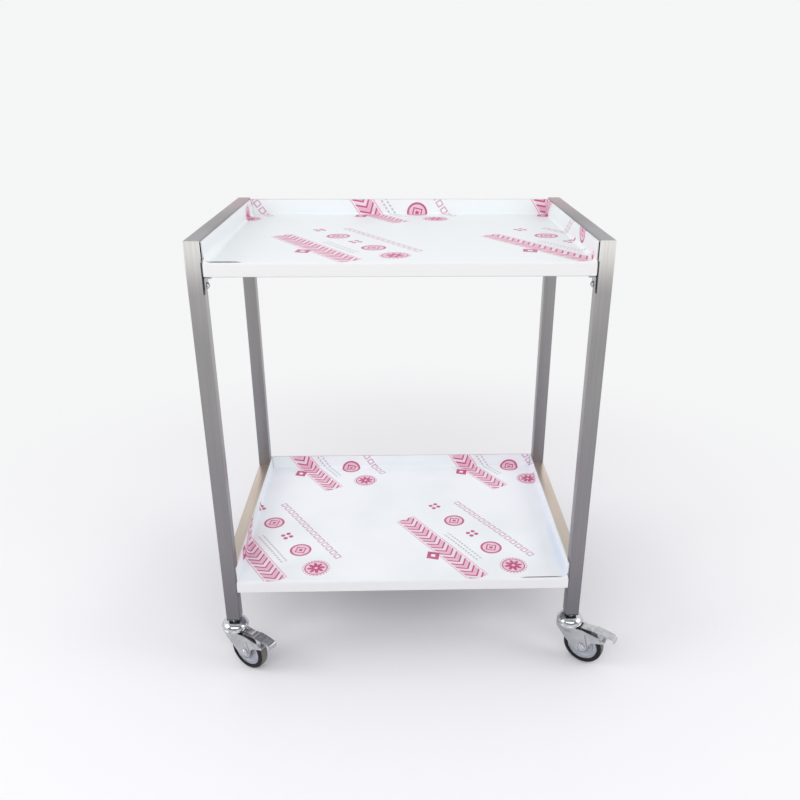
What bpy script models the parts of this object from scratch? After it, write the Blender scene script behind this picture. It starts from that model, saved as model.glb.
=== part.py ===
"""Two-shelf dressing trolley on four braked swivel casters.

Metres, +Z up, the front of the trolley towards -Y. The origin is on the floor
under the middle of the trolley.
"""

import math

import bmesh
import bpy
from mathutils import Matrix

# Frame sizes
WIDTH = 0.650
DEPTH = 0.450
HEIGHT = 0.790
LOWER_RAIL_TOP_Z = 0.201

# Square tube
TUBE = 0.025
TUBE_WALL = 0.0012
TUBE_CORNER = 0.0022
SEAM_GAP = 0.0003

# Folded trays
SHEET = 0.0012
TOP_SHELF_DROP = 0.033
LOW_SHELF_DROP = 0.020
RIM_RISE = 0.030
APRON_DROP = 0.022
HEM_DEPTH = 0.006
FOLD_RADIUS = 0.0015
CORNER_RELIEF = 0.0045
CORNER_NOTCH = 0.0032
TOP_TRAY_GAP = 0.0016
LOW_TRAY_GAP = 0.0004

# Protective film on the trays
FILM = 0.0003
FILM_GAP = 0.0002
FILM_SHORT = 0.0010

# Lugs that carry the top tray
LUG_SHEET = 0.0025
LUG_HEIGHT = 0.020
LUG_REACH = 0.011
LUG_WIDTH = 0.018
LUG_SETBACK = 0.0032
LUG_SCREW_DROP = 0.0145
SCREW_R = 0.0025
SCREW_HEAD_R = 0.0050
SCREW_HEAD_H = 0.0034
SCREW_CLEAR = 0.0003

# Leg plug and caster stem
PLUG_FLANGE = 0.0020
PLUG_SLEEVE = 0.022
STEM_R = 0.0050
STEM_CLEAR = 0.0003
STEM_RISE = 0.026
NUT_HEIGHT = 0.0040
NUT_FLATS = 0.017
STEM_HEAD_R = 0.0080
STEM_HEAD_H = 0.0022

# Caster head
CUP_R = 0.0243
CUP_HEIGHT = 0.0123
CUP_SHEET = 0.0018
RACE_R = 0.0232
RACE_INNER_R = 0.0125
RACE_HEIGHT = 0.0040

# Caster fork
FORK_SHEET = 0.0020
FORK_HALF = 0.0130
FORK_FLARE = 0.0095
FORK_BEND = 0.0026
FORK_FOOT_R = 0.0128
CROWN_R = 0.0245
TRAIL = 0.031
CROWN_RISE = 0.0012

# Wheel
WHEEL_R = 0.0375
TYRE_HALF = 0.0100
TYRE_DEPTH = 0.0085
AXLE_R = 0.0040
AXLE_CLEAR = 0.0003
HUB_HALF = 0.0104
BOLT_HEAD_R = 0.0065
BOLT_HEAD_H = 0.0042
AXLE_NUT_FLATS = 0.013
AXLE_NUT_H = 0.0055

# Brake pedal
PEDAL_PIN_ALONG = 1.73333
PEDAL_PIN_UP = 0.6848
PEDAL_PIN_R = 0.0019
PEDAL_PIN_CLEAR = 0.0003
EAR_SHEET = 0.0018
EAR_CLEAR = 0.0006
EAR_R = 0.0040
PEDAL_HALF = FORK_HALF - FORK_SHEET - EAR_CLEAR

# Directions in which the four casters trail, in degrees about +Z
TRAIL_TURN = {"fl": -33.7, "fr": -33.7, "rl": 33.7, "rr": 146.3}

# Derived heights
LEG_INNER_X = WIDTH / 2 - TUBE
TOP_FLOOR_Z = HEIGHT - TOP_SHELF_DROP
LOW_FLOOR_Z = LOWER_RAIL_TOP_Z - LOW_SHELF_DROP
CROWN_Z = 2 * WHEEL_R + CROWN_RISE
RACE_END_Z = CROWN_Z + SEAM_GAP
RACE_TOP_Z = RACE_END_Z + RACE_HEIGHT
CUP_END_Z = RACE_TOP_Z + SEAM_GAP
CUP_TOP_Z = CUP_END_Z + CUP_HEIGHT
NUT_TOP_Z = CUP_TOP_Z + SEAM_GAP + NUT_HEIGHT
PLUG_END_Z = NUT_TOP_Z + SEAM_GAP
LEG_END_Z = PLUG_END_Z + PLUG_FLANGE + SEAM_GAP
PEDAL_PIVOT_X = PEDAL_PIN_ALONG * WHEEL_R
PEDAL_PIVOT_Z = WHEEL_R + PEDAL_PIN_UP * (CROWN_Z - WHEEL_R)

PARTS = "dressing_trolley"
CUTTERS = "cutting_tools"

FINISHES = {
    "stainless": ((0.62, 0.60, 0.58, 1.0), 1.0, 0.35),
    "film": ((0.86, 0.89, 0.93, 1.0), 0.0, 0.30),
    "chrome": ((0.80, 0.80, 0.80, 1.0), 1.0, 0.15),
    "zinc": ((0.66, 0.67, 0.69, 1.0), 1.0, 0.35),
    "hub_grey": ((0.60, 0.62, 0.66, 1.0), 0.4, 0.40),
    "rubber": ((0.03, 0.03, 0.035, 1.0), 0.0, 0.60),
    "plug_black": ((0.02, 0.02, 0.02, 1.0), 0.0, 0.50),
}


def clear_scene():
    """Empty the scene and make the two collections."""
    for obj in list(bpy.data.objects):
        bpy.data.objects.remove(obj, do_unlink=True)
    for name in (PARTS, CUTTERS):
        old = bpy.data.collections.get(name)
        if old:
            bpy.data.collections.remove(old)
        bpy.context.scene.collection.children.link(bpy.data.collections.new(name))


def finish(name):
    """Material of one finish."""
    mat = bpy.data.materials.get(name)
    if mat:
        return mat
    color, metallic, roughness = FINISHES[name]
    mat = bpy.data.materials.new(name)
    mat.use_nodes = True
    shader = mat.node_tree.nodes["Principled BSDF"]
    shader.inputs["Base Color"].default_value = color
    shader.inputs["Metallic"].default_value = metallic
    shader.inputs["Roughness"].default_value = roughness
    return mat


def to_mesh(bm, name):
    """Mesh from a bmesh, with faces turned outwards."""
    bmesh.ops.recalc_face_normals(bm, faces=bm.faces[:])
    mesh = bpy.data.meshes.new(name)
    bm.to_mesh(mesh)
    bm.free()
    return mesh


def add_part(name, mesh, slot, parent=None, place=None, smooth=False):
    """Put one named part in the trolley's collection."""
    obj = bpy.data.objects.new(name, mesh)
    bpy.data.collections[PARTS].objects.link(obj)
    mesh.materials.clear()
    mesh.materials.append(finish(slot))
    if parent:
        obj.parent = parent
    obj.matrix_local = place or Matrix.Identity(4)
    if smooth:
        mesh.shade_smooth()
        mesh.set_sharp_from_angle(angle=math.radians(35))
    return obj


def add_empty(name, parent, place):
    """Axis point that moving parts hang from."""
    obj = bpy.data.objects.new(name, None)
    obj.empty_display_size = 0.01
    bpy.data.collections[PARTS].objects.link(obj)
    obj.parent = parent
    obj.matrix_local = place
    return obj


def add_cutter(name, mesh, parent=None, place=None):
    """Hidden tool body for a Boolean."""
    obj = bpy.data.objects.new(name, mesh)
    bpy.data.collections[CUTTERS].objects.link(obj)
    obj.hide_render = True
    obj.display_type = "WIRE"
    if parent:
        obj.parent = parent
    obj.matrix_local = place or Matrix.Identity(4)
    return obj


def boolean(obj, tool, operation):
    """Exact Boolean of a part with a tool body."""
    mod = obj.modifiers.new(tool.name, "BOOLEAN")
    mod.operation = operation
    mod.solver = "EXACT"
    mod.object = tool


def rounded_square(bm, size, radius):
    """One face in the shape of a square with round corners."""
    bmesh.ops.create_grid(bm, x_segments=1, y_segments=1, size=size / 2)
    bmesh.ops.bevel(bm, geom=bm.verts[:], offset=radius, segments=3, profile=0.5, affect="VERTICES")


def pull_up(bm, faces, height):
    """Extrude faces along +Z and return the new top faces."""
    out = bmesh.ops.extrude_face_region(bm, geom=faces)
    moved = [g for g in out["geom"] if isinstance(g, bmesh.types.BMVert)]
    bmesh.ops.translate(bm, verts=moved, vec=(0, 0, height))
    return [g for g in out["geom"] if isinstance(g, bmesh.types.BMFace)]


def square_tube(name, length, low_mitre, high_mitre):
    """Square tube along +Z; a mitred end is longest on the -Y face."""
    bm = bmesh.new()
    rounded_square(bm, TUBE, TUBE_CORNER)
    core = bm.faces[:]
    bmesh.ops.inset_region(bm, faces=core, thickness=TUBE_WALL, use_boundary=True, use_even_offset=True)
    bmesh.ops.delete(bm, geom=core, context="FACES")
    pull_up(bm, bm.faces[:], length)
    for vert in bm.verts:
        slant = vert.co.y + TUBE / 2
        if high_mitre and vert.co.z > length / 2:
            vert.co.z -= slant
        elif low_mitre and vert.co.z < length / 2:
            vert.co.z += slant
    return to_mesh(bm, name)


def outline_solid(name, outline, half_depth):
    """Solid with an outline in local X and Y, thick along local Z."""
    curve = bpy.data.curves.new(name, "CURVE")
    curve.dimensions = "2D"
    curve.fill_mode = "BOTH"
    curve.extrude = half_depth
    spline = curve.splines.new("POLY")
    spline.points.add(len(outline) - 1)
    for point, (x, y) in zip(spline.points, outline):
        point.co = (x, y, 0, 1)
    spline.use_cyclic_u = True
    holder = bpy.data.objects.new(name, curve)
    bpy.data.collections[CUTTERS].objects.link(holder)
    mesh = bpy.data.meshes.new_from_object(holder)
    bpy.data.objects.remove(holder)
    bpy.data.curves.remove(curve)
    bm = bmesh.new()
    bm.from_mesh(mesh)
    bmesh.ops.remove_doubles(bm, verts=bm.verts[:], dist=1e-6)
    bpy.data.meshes.remove(mesh)
    return to_mesh(bm, name)


def lathe(name, profile, steps):
    """Solid of revolution about Z from a closed profile of radius and height."""
    bm = bmesh.new()
    ring = [bm.verts.new((r, 0, z)) for r, z in profile]
    pairs = [(ring[i - 1], ring[i]) for i in range(len(ring))]
    edges = [bm.edges.new(pair) for pair in pairs if pair[0].co.x + pair[1].co.x > 1e-9]
    bmesh.ops.spin(
        bm, geom=ring + edges, cent=(0, 0, 0), axis=(0, 0, 1),
        angle=2 * math.pi, steps=steps, use_merge=True,
    )
    bmesh.ops.remove_doubles(bm, verts=bm.verts[:], dist=1e-6)
    bmesh.ops.dissolve_degenerate(bm, edges=bm.edges[:], dist=1e-7)
    return to_mesh(bm, name)


def hexagon(name, flats, low, high):
    """Hexagonal prism along Z."""
    bm = bmesh.new()
    bmesh.ops.create_cone(
        bm, cap_ends=True, segments=6, depth=high - low,
        radius1=flats / math.sqrt(3), radius2=flats / math.sqrt(3),
        matrix=Matrix.Translation((0, 0, (high + low) / 2)),
    )
    return to_mesh(bm, name)


def rod(name, radius, low, high, steps=24):
    """Round rod along Z."""
    bm = bmesh.new()
    bmesh.ops.create_cone(
        bm, cap_ends=True, segments=steps, depth=high - low, radius1=radius, radius2=radius,
        matrix=Matrix.Translation((0, 0, (high + low) / 2)),
    )
    return to_mesh(bm, name)


def across(turn_deg, location):
    """Matrix that lays local Z along Y, then turns and moves."""
    lay = Matrix.Rotation(math.radians(90), 4, "X")
    return Matrix.Translation(location) @ Matrix.Rotation(math.radians(turn_deg), 4, "Z") @ lay


# Frame


def leg_points():
    """Name, x and y of each leg's centre line."""
    x = WIDTH / 2 - TUBE / 2
    y = DEPTH / 2 - TUBE / 2
    return {"fl": (-x, -y), "fr": (x, -y), "rl": (-x, y), "rr": (x, y)}


def lug_top_z(corner):
    """Height of a lug's seat: under the hem in front, under the floor behind."""
    seat = TOP_FLOOR_Z - APRON_DROP if corner[0] == "f" else TOP_FLOOR_Z - SHEET
    return seat - SEAM_GAP


def lug_y(corner):
    """Middle of a lug along the depth."""
    front = DEPTH / 2 - LUG_SETBACK - LUG_WIDTH / 2
    return -front if corner[0] == "f" else front


def side_of(corner):
    """Minus one on the left, plus one on the right."""
    return -1 if corner[1] == "l" else 1


def build_legs():
    """Four legs, mitred at the top and drilled for the lug screws."""
    length = HEIGHT - LEG_END_Z - SEAM_GAP * math.sqrt(2)
    for corner, (x, y) in leg_points().items():
        turn = 0 if corner[0] == "f" else math.pi
        place = Matrix.Translation((x, y, LEG_END_Z)) @ Matrix.Rotation(turn, 4, "Z")
        leg = add_part("leg_" + corner, square_tube("leg", length, False, True), "stainless", None, place)
        hole = rod("screw_hole", SCREW_R + SCREW_CLEAR, -TUBE_WALL * 3, TUBE_WALL * 3, 16)
        middle = (side_of(corner) * LEG_INNER_X, lug_y(corner), lug_top_z(corner) - LUG_SCREW_DROP)
        turned = Matrix.Translation(middle) @ Matrix.Rotation(math.pi / 2, 4, "Y")
        boolean(leg, add_cutter("hole_" + corner, hole, None, turned), "DIFFERENCE")


def build_rails():
    """Mitred top rails and butted lower rails of the two side frames."""
    lay = Matrix.Rotation(-math.pi / 2, 4, "X")
    x = WIDTH / 2 - TUBE / 2
    short = DEPTH - 2 * TUBE - 2 * SEAM_GAP
    for side, sign in (("l", -1), ("r", 1)):
        top = Matrix.Translation((sign * x, -DEPTH / 2, HEIGHT - TUBE / 2)) @ lay
        add_part("rail_top_" + side, square_tube("rail_top", DEPTH, True, True), "stainless", None, top)
        low = Matrix.Translation((sign * x, -short / 2, LOWER_RAIL_TOP_Z - TUBE / 2)) @ lay
        add_part("rail_low_" + side, square_tube("rail_low", short, False, False), "stainless", None, low)


def build_plugs():
    """Plastic plug in the open end of each leg, bored for the caster stem."""
    for corner, (x, y) in leg_points().items():
        bm = bmesh.new()
        rounded_square(bm, TUBE, TUBE_CORNER)
        top = pull_up(bm, bm.faces[:], PLUG_FLANGE)
        inset = TUBE_WALL + SEAM_GAP
        bmesh.ops.inset_region(bm, faces=top, thickness=inset, use_even_offset=True)
        pull_up(bm, top, PLUG_SLEEVE)
        bmesh.ops.delete(bm, geom=[f for f in bm.faces if is_inside(f)], context="FACES")
        place = Matrix.Translation((x, y, PLUG_END_Z))
        plug = add_part("plug_" + corner, to_mesh(bm, "plug"), "plug_black", None, place)
        bore = rod("stem_bore", STEM_R + STEM_CLEAR, -PLUG_FLANGE, PLUG_SLEEVE + 2 * PLUG_FLANGE, 16)
        boolean(plug, add_cutter("bore_" + corner, bore, None, place), "DIFFERENCE")


def is_inside(face):
    """Whether a face shares every edge with two other faces, so it lies within the solid."""
    return all(len(edge.link_faces) > 2 for edge in face.edges)


# Trays


def folded_sheet(half_w, y_front, y_back, floor_z, rim_z, drop_z, hem, radii, relief):
    """Open surface of a tray: floor, three upstands, a front apron and its hem."""
    bm = flat_blank(half_w, y_front, y_back, floor_z, relief)
    walls = [e for e in bm.edges if is_wall_foot(e, half_w, y_back)]
    pull_edges(bm, walls, 0, rim_z - floor_z)
    apron = pull_edges(bm, [e for e in bm.edges if on_front(e, y_front, floor_z)], 0, drop_z - floor_z)
    if hem:
        pull_edges(bm, [e for e in apron if on_front(e, y_front, drop_z)], hem, 0)
    up_radius, front_radius = radii
    soften(bm, [e for e in bm.edges if is_upstand_fold(e, half_w, y_back, floor_z)], up_radius)
    folds = [e for e in bm.edges if on_front(e, y_front, floor_z) and len(e.link_faces) == 2]
    folds += [e for e in bm.edges if on_front(e, y_front, drop_z) and len(e.link_faces) == 2]
    soften(bm, folds, front_radius)
    bmesh.ops.recalc_face_normals(bm, faces=bm.faces[:])
    floor = max(bm.faces, key=lambda f: f.calc_area())
    if floor.normal.z < 0:
        bmesh.ops.reverse_faces(bm, faces=bm.faces[:])
    return bm


def flat_blank(half_w, y_front, y_back, floor_z, relief):
    """Floor of a tray, notched at the two front corners."""
    bm = bmesh.new()
    grid = bmesh.ops.create_grid(bm, x_segments=1, y_segments=1, size=0.5)
    for vert in grid["verts"]:
        vert.co.x *= 2 * half_w
        vert.co.y = y_front if vert.co.y < 0 else y_back
        vert.co.z = floor_z
    notch = -DEPTH / 2 + CORNER_NOTCH
    cuts = [((x, 0, 0), (1, 0, 0)) for x in (relief - half_w, half_w - relief)]
    for point, normal in cuts + [((0, notch, 0), (0, 1, 0))]:
        geom = bm.verts[:] + bm.edges[:] + bm.faces[:]
        bmesh.ops.bisect_plane(bm, geom=geom, plane_co=point, plane_no=normal)
    corners = []
    for face in bm.faces:
        spot = face.calc_center_median()
        if abs(spot.x) > half_w - relief and spot.y < notch:
            corners.append(face)
    bmesh.ops.delete(bm, geom=corners, context="FACES")
    return bm


def pull_edges(bm, edges, dy, dz):
    """Extrude edges along Y and Z and return the new edges."""
    out = bmesh.ops.extrude_edge_only(bm, edges=edges)
    for item in out["geom"]:
        if isinstance(item, bmesh.types.BMVert):
            item.co.y += dy
            item.co.z += dz
    return [g for g in out["geom"] if isinstance(g, bmesh.types.BMEdge)]


def is_wall_foot(edge, half_w, y_back):
    """Whether an edge of the floor carries a wall."""
    at_side = all(abs(abs(v.co.x) - half_w) < 1e-5 for v in edge.verts)
    at_back = all(abs(v.co.y - y_back) < 1e-5 for v in edge.verts)
    return edge.is_boundary and (at_side or at_back)


def on_front(edge, y, z):
    """Whether an edge runs along X at a depth and a height."""
    return all(abs(v.co.y - y) < 1e-5 and abs(v.co.z - z) < 1e-5 for v in edge.verts)


def is_upstand_fold(edge, half_w, y_back, floor_z):
    """Whether an edge is a fold at the foot of a wall or between two walls."""
    if len(edge.link_faces) != 2:
        return False
    at_floor = all(abs(v.co.z - floor_z) < 1e-5 for v in edge.verts)
    at_side = all(abs(abs(v.co.x) - half_w) < 1e-5 for v in edge.verts)
    at_back = all(abs(v.co.y - y_back) < 1e-5 for v in edge.verts)
    return (at_floor and (at_side or at_back)) or (at_side and at_back)


def soften(bm, edges, radius):
    """Round the folds."""
    bmesh.ops.bevel(
        bm, geom=edges, offset=radius, segments=3, profile=0.5, affect="EDGES", clamp_overlap=False
    )


def thicken(obj, thickness):
    """Give a sheet its thickness on the side its faces look to."""
    mod = obj.modifiers.new("sheet", "SOLIDIFY")
    mod.thickness = thickness
    mod.offset = 1.0
    mod.use_even_offset = True


def keep_mesh(bm, name):
    """Mesh from a bmesh whose faces already look the right way."""
    mesh = bpy.data.meshes.new(name)
    bm.to_mesh(mesh)
    bm.free()
    return mesh


def build_tray(name, floor_z, gap):
    """One folded tray, flush with the fronts and backs of the legs."""
    half = LEG_INNER_X - gap
    front = -DEPTH / 2 + SHEET
    bm = folded_sheet(
        half, front, DEPTH / 2, floor_z - SHEET, floor_z + RIM_RISE,
        floor_z - APRON_DROP + SHEET, HEM_DEPTH, (FOLD_RADIUS + SHEET, FOLD_RADIUS), CORNER_RELIEF,
    )
    thicken(add_part(name, keep_mesh(bm, name), "stainless"), SHEET)


def build_film(name, floor_z, gap):
    """Protective film that lies on the tray's upper side and over its apron."""
    half = LEG_INNER_X - gap - SHEET - FILM_GAP
    front = -DEPTH / 2 - FILM_GAP
    back = DEPTH / 2 - SHEET - FILM_GAP
    reach = CORNER_RELIEF - SHEET - FILM_GAP
    bm = folded_sheet(
        half, front, back, floor_z + FILM_GAP, floor_z + RIM_RISE - FILM_SHORT,
        floor_z - APRON_DROP + FILM_SHORT, 0, (FOLD_RADIUS - FILM_GAP, FOLD_RADIUS + SHEET + FILM_GAP), reach,
    )
    thicken(add_part(name, keep_mesh(bm, name), "film"), FILM)


def build_lugs():
    """Angle lugs on the legs that carry the top tray, with their screws."""
    for corner in leg_points():
        top = lug_top_z(corner)
        outline = [
            (0, 0), (LUG_REACH, 0), (LUG_REACH, -LUG_SHEET), (LUG_SHEET * 1.4, -LUG_SHEET),
            (LUG_SHEET, -LUG_SHEET * 1.4), (LUG_SHEET, -LUG_HEIGHT), (0, -LUG_HEIGHT),
        ]
        side = side_of(corner)
        mesh = outline_solid("lug", outline, LUG_WIDTH / 2)
        turn = 180 if side > 0 else 0
        spot = (side * (LEG_INNER_X - SEAM_GAP), lug_y(corner), top)
        lug = add_part("lug_" + corner, mesh, "stainless", None, across(turn, spot))
        screw_z = top - LUG_SCREW_DROP
        lay = Matrix.Rotation(side * math.pi / 2, 4, "Y")
        face = Matrix.Translation((side * (LEG_INNER_X - SEAM_GAP - LUG_SHEET), lug_y(corner), screw_z)) @ lay
        hole = rod("lug_hole", SCREW_R + SCREW_CLEAR, -LUG_SHEET, 2 * LUG_SHEET, 16)
        boolean(lug, add_cutter("lug_hole_" + corner, hole, None, face), "DIFFERENCE")
        add_part("screw_" + corner, screw_mesh(), "chrome", None, face, smooth=True)


def screw_mesh():
    """Dome-headed screw; its head stands on -Z."""
    tip = LUG_SHEET + SEAM_GAP + 2.5 * TUBE_WALL
    head = SCREW_HEAD_R
    tall = SCREW_HEAD_H
    return lathe("screw", [
        (0, tip), (SCREW_R * 0.8, tip), (SCREW_R, tip - 0.0005), (SCREW_R, -SEAM_GAP),
        (head, -SEAM_GAP), (head, -SEAM_GAP - 0.2 * tall), (head * 0.86, -SEAM_GAP - 0.62 * tall),
        (head * 0.52, -SEAM_GAP - 0.92 * tall), (0, -SEAM_GAP - tall),
    ], 16)


# Casters


def stem_mesh():
    """Profile of the stem with the head that holds the swivel."""
    head_top = CROWN_Z - FORK_SHEET - SEAM_GAP
    return lathe("stem", [
        (0, head_top - STEM_HEAD_H), (STEM_HEAD_R * 0.8, head_top - STEM_HEAD_H),
        (STEM_HEAD_R, head_top - 0.5 * STEM_HEAD_H), (STEM_HEAD_R, head_top),
        (STEM_R, head_top), (STEM_R, LEG_END_Z + STEM_RISE - 0.001),
        (STEM_R * 0.8, LEG_END_Z + STEM_RISE), (0, LEG_END_Z + STEM_RISE),
    ], 16)


def cup_mesh():
    """Domed cover of the swivel head."""
    bore = STEM_R + STEM_CLEAR
    outer = [
        (bore, 0), (0.0100, 0), (0.0145, -0.0009), (0.0190, -0.0032),
        (0.0224, -0.0066), (CUP_R - 0.0002, -0.0098), (CUP_R, -CUP_HEIGHT),
    ]
    inner = [
        (CUP_R - CUP_SHEET, -CUP_HEIGHT), (CUP_R - CUP_SHEET - 0.0004, -0.0102),
        (0.0208, -0.0076), (0.0175, -0.0046), (0.0135, -0.0026), (bore, -CUP_SHEET),
    ]
    return lathe("cup", [(r, CUP_TOP_Z + z) for r, z in outer + inner], 24)


def race_mesh():
    """Bearing ring between the cup and the fork."""
    low, high = RACE_END_Z, RACE_TOP_Z
    return lathe("race", [
        (RACE_INNER_R, low), (RACE_R - 0.0012, low), (RACE_R, low + 0.0012),
        (RACE_R, high - 0.0010), (RACE_R - 0.0010, high), (RACE_INNER_R, high),
    ], 24)


def beside(points):
    """Side points of a caster, from shares of the wheel's radius and of the height from axle to crown."""
    return [(along * WHEEL_R, WHEEL_R + up * (CROWN_Z - WHEEL_R)) for along, up in points]


def around(x, z, radius, degrees):
    """Points on a circle in the caster's own X and Z."""
    turns = [math.radians(a) for a in degrees]
    return [(x + radius * math.cos(a), z + radius * math.sin(a)) for a in turns]


def fork_outline():
    """Side outline of the fork in the caster's own X and Z."""
    nose = beside([
        (-0.667, 1.072), (0.440, 1.072), (0.533, 0.948), (1.200, 0.886), (1.747, 0.809), (1.941, 0.716),
        (1.979, 0.649), (1.947, 0.589), (1.387, 0.413), (1.253, 0.318), (1.189, 0.168),
    ])
    foot = around(TRAIL, WHEEL_R, FORK_FOOT_R, range(0, -121, -20))
    front = beside([(0.373, -0.168), (-0.080, 0.220), (-0.520, 0.762), (-0.667, 0.840)])
    return nose + foot + front


def fork_sheet_mesh():
    """Pressed sheet of the fork before it is trimmed: a round crown drawn into two cheeks."""
    columns = [(-0.504, 0.0), (0.323, 0.0), (0.530, 0.12), (0.724, 0.45), (0.871, 0.86)]
    columns = [(WHEEL_R + up * (CROWN_Z - WHEEL_R), share) for up, share in columns]
    columns.append((CROWN_Z - FORK_BEND, 1.0))
    bend = [(0.3 * FORK_BEND, CROWN_Z - 0.3 * FORK_BEND), (FORK_BEND, CROWN_Z)]
    stations = [(k - 6.5) * CROWN_R / 6.1 for k in range(14)] + [2.08 * WHEEL_R]
    half = []
    for x in stations:
        swell = math.cos(math.pi * x / (2.04 * CROWN_R)) ** 2 if abs(x) < 1.02 * CROWN_R else 0.0
        flare = FORK_FLARE * swell
        side = [(FORK_HALF + share * flare, z) for z, share in columns]
        side += [(FORK_HALF + flare - inset, z) for inset, z in bend]
        half.append((x, side))
    count = len(half[0][1])
    bm = bmesh.new()
    bmesh.ops.create_grid(bm, x_segments=2 * count - 1, y_segments=len(half) - 1, size=1)
    grid = sorted(bm.verts, key=lambda v: (round(v.co.y, 5), round(v.co.x, 5)))
    for row, (x, side) in enumerate(half):
        full = [(-y, z) for y, z in side] + [(y, z) for y, z in reversed(side)]
        for col, (y, z) in enumerate(full):
            grid[row * 2 * count + col].co = (x, y, z)
    bmesh.ops.recalc_face_normals(bm, faces=bm.faces[:])
    crown = max(bm.faces, key=lambda f: f.calc_center_median().z)
    if crown.normal.z > 0:
        bmesh.ops.reverse_faces(bm, faces=bm.faces[:])
    return keep_mesh(bm, "fork")


def crown_plan():
    """Plan outline of the fork: round in front, straight behind."""
    arc = around(0, 0, CROWN_R, range(90, 271, 15))
    return arc + [(2.4 * WHEEL_R, -CROWN_R), (2.4 * WHEEL_R, CROWN_R)]


def build_fork(corner, parent):
    """Trim and drill one fork."""
    fork = add_part("fork_" + corner, fork_sheet_mesh(), "zinc", parent)
    thicken(fork, FORK_SHEET)
    side = outline_solid("fork_side", fork_outline(), 3 * FORK_HALF)
    plan = outline_solid("fork_plan", crown_plan(), 1.2 * WHEEL_R)
    boolean(fork, add_cutter("fork_side_" + corner, side, parent, across(0, (0, 0, 0))), "INTERSECT")
    lift = Matrix.Translation((0, 0, 1.3 * WHEEL_R))
    boolean(fork, add_cutter("fork_plan_" + corner, plan, parent, lift), "INTERSECT")
    holes = (
        ("axle_hole_", AXLE_R + AXLE_CLEAR, across(0, (TRAIL, 0, WHEEL_R))),
        ("pin_hole_", PEDAL_PIN_R + PEDAL_PIN_CLEAR, across(0, (PEDAL_PIVOT_X, 0, PEDAL_PIVOT_Z))),
        ("stem_hole_", STEM_R + STEM_CLEAR, Matrix.Translation((0, 0, CROWN_Z))),
    )
    for name, radius, place in holes:
        tool = add_cutter(name + corner, rod(name, radius, -2 * FORK_HALF, 2 * FORK_HALF, 16), parent, place)
        boolean(fork, tool, "DIFFERENCE")


def axle_mesh():
    """Axle bolt with a domed head on +Z."""
    face = FORK_HALF + SEAM_GAP
    tip = face + AXLE_NUT_H + 0.0015
    head, tall = BOLT_HEAD_R, BOLT_HEAD_H
    return lathe("axle", [
        (0, -tip), (AXLE_R * 0.75, -tip), (AXLE_R, -tip + 0.001), (AXLE_R, face), (head, face),
        (head, face + 0.25 * tall), (head * 0.88, face + 0.60 * tall),
        (head * 0.55, face + 0.92 * tall), (0, face + tall),
    ], 16)


def build_axle(corner, parent):
    """Axle bolt with its nut."""
    axle = add_part("axle_" + corner, axle_mesh(), "chrome", parent, across(0, (0, 0, 0)), smooth=True)
    face = FORK_HALF + SEAM_GAP
    nut = hexagon("axle_nut", AXLE_NUT_FLATS, -face - AXLE_NUT_H, -face)
    boolean(axle, add_cutter("axle_nut_" + corner, nut, parent, across(0, (0, 0, 0))), "UNION")


def hub_mesh():
    """Wheel centre: boss, dished web and rim."""
    rim = WHEEL_R - TYRE_DEPTH - SEAM_GAP
    bore = AXLE_R + AXLE_CLEAR
    face = [
        (bore, HUB_HALF), (0.0080, HUB_HALF), (0.0095, 0.0064), (0.0200, 0.0064),
        (0.0222, 0.0078), (rim, 0.0074),
    ]
    return lathe("hub", face + [(r, -z) for r, z in reversed(face)], 24)


def tyre_mesh():
    """Tyre with round shoulders."""
    inner = WHEEL_R - TYRE_DEPTH
    face = [
        (inner, TYRE_HALF), (WHEEL_R - 0.0035, TYRE_HALF - 0.0004),
        (WHEEL_R - 0.0012, TYRE_HALF - 0.0022), (WHEEL_R, TYRE_HALF - 0.0050),
    ]
    return lathe("tyre", face + [(r, -z) for r, z in reversed(face)], 36)


def pedal_plate_outline():
    """Side outline of the pedal's foot plate in the caster's own X and Z."""
    upper = beside([
        (1.333, 1.041), (1.413, 1.054), (1.920, 0.995), (2.309, 0.943), (2.389, 0.897), (2.421, 0.695),
    ])
    lower = beside([
        (2.368, 0.687), (2.344, 0.868), (2.296, 0.894), (1.912, 0.943), (1.408, 1.000), (1.328, 0.990),
    ])
    return upper + lower


def ear_outline():
    """Side outline of the ears that reach from the plate to the pin."""
    foot = around(PEDAL_PIVOT_X, PEDAL_PIVOT_Z, EAR_R, range(10, -191, -25))
    return beside([(1.547, 1.005), (1.867, 0.969)]) + foot


def build_pedal(corner, parent):
    """Brake pedal: foot plate, two ears and the pin they turn on."""
    pivot = (-PEDAL_PIVOT_X, 0, -PEDAL_PIVOT_Z)
    plate = outline_solid("pedal", pedal_plate_outline(), PEDAL_HALF)
    pedal = add_part("pedal_" + corner, plate, "chrome", parent, across(0, pivot))
    ear_y = PEDAL_HALF - EAR_SHEET / 2
    for side, y in (("a", ear_y), ("b", -ear_y)):
        ear = outline_solid("ear", ear_outline(), EAR_SHEET / 2)
        place = across(0, (pivot[0], y, pivot[2]))
        boolean(pedal, add_cutter("ear_" + side + "_" + corner, ear, parent, place), "UNION")
    reach = FORK_HALF + 0.0006
    pin = rod("pin", PEDAL_PIN_R, -reach, reach, 16)
    boolean(pedal, add_cutter("pin_" + corner, pin, parent, across(0, (0, 0, 0))), "UNION")


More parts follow.
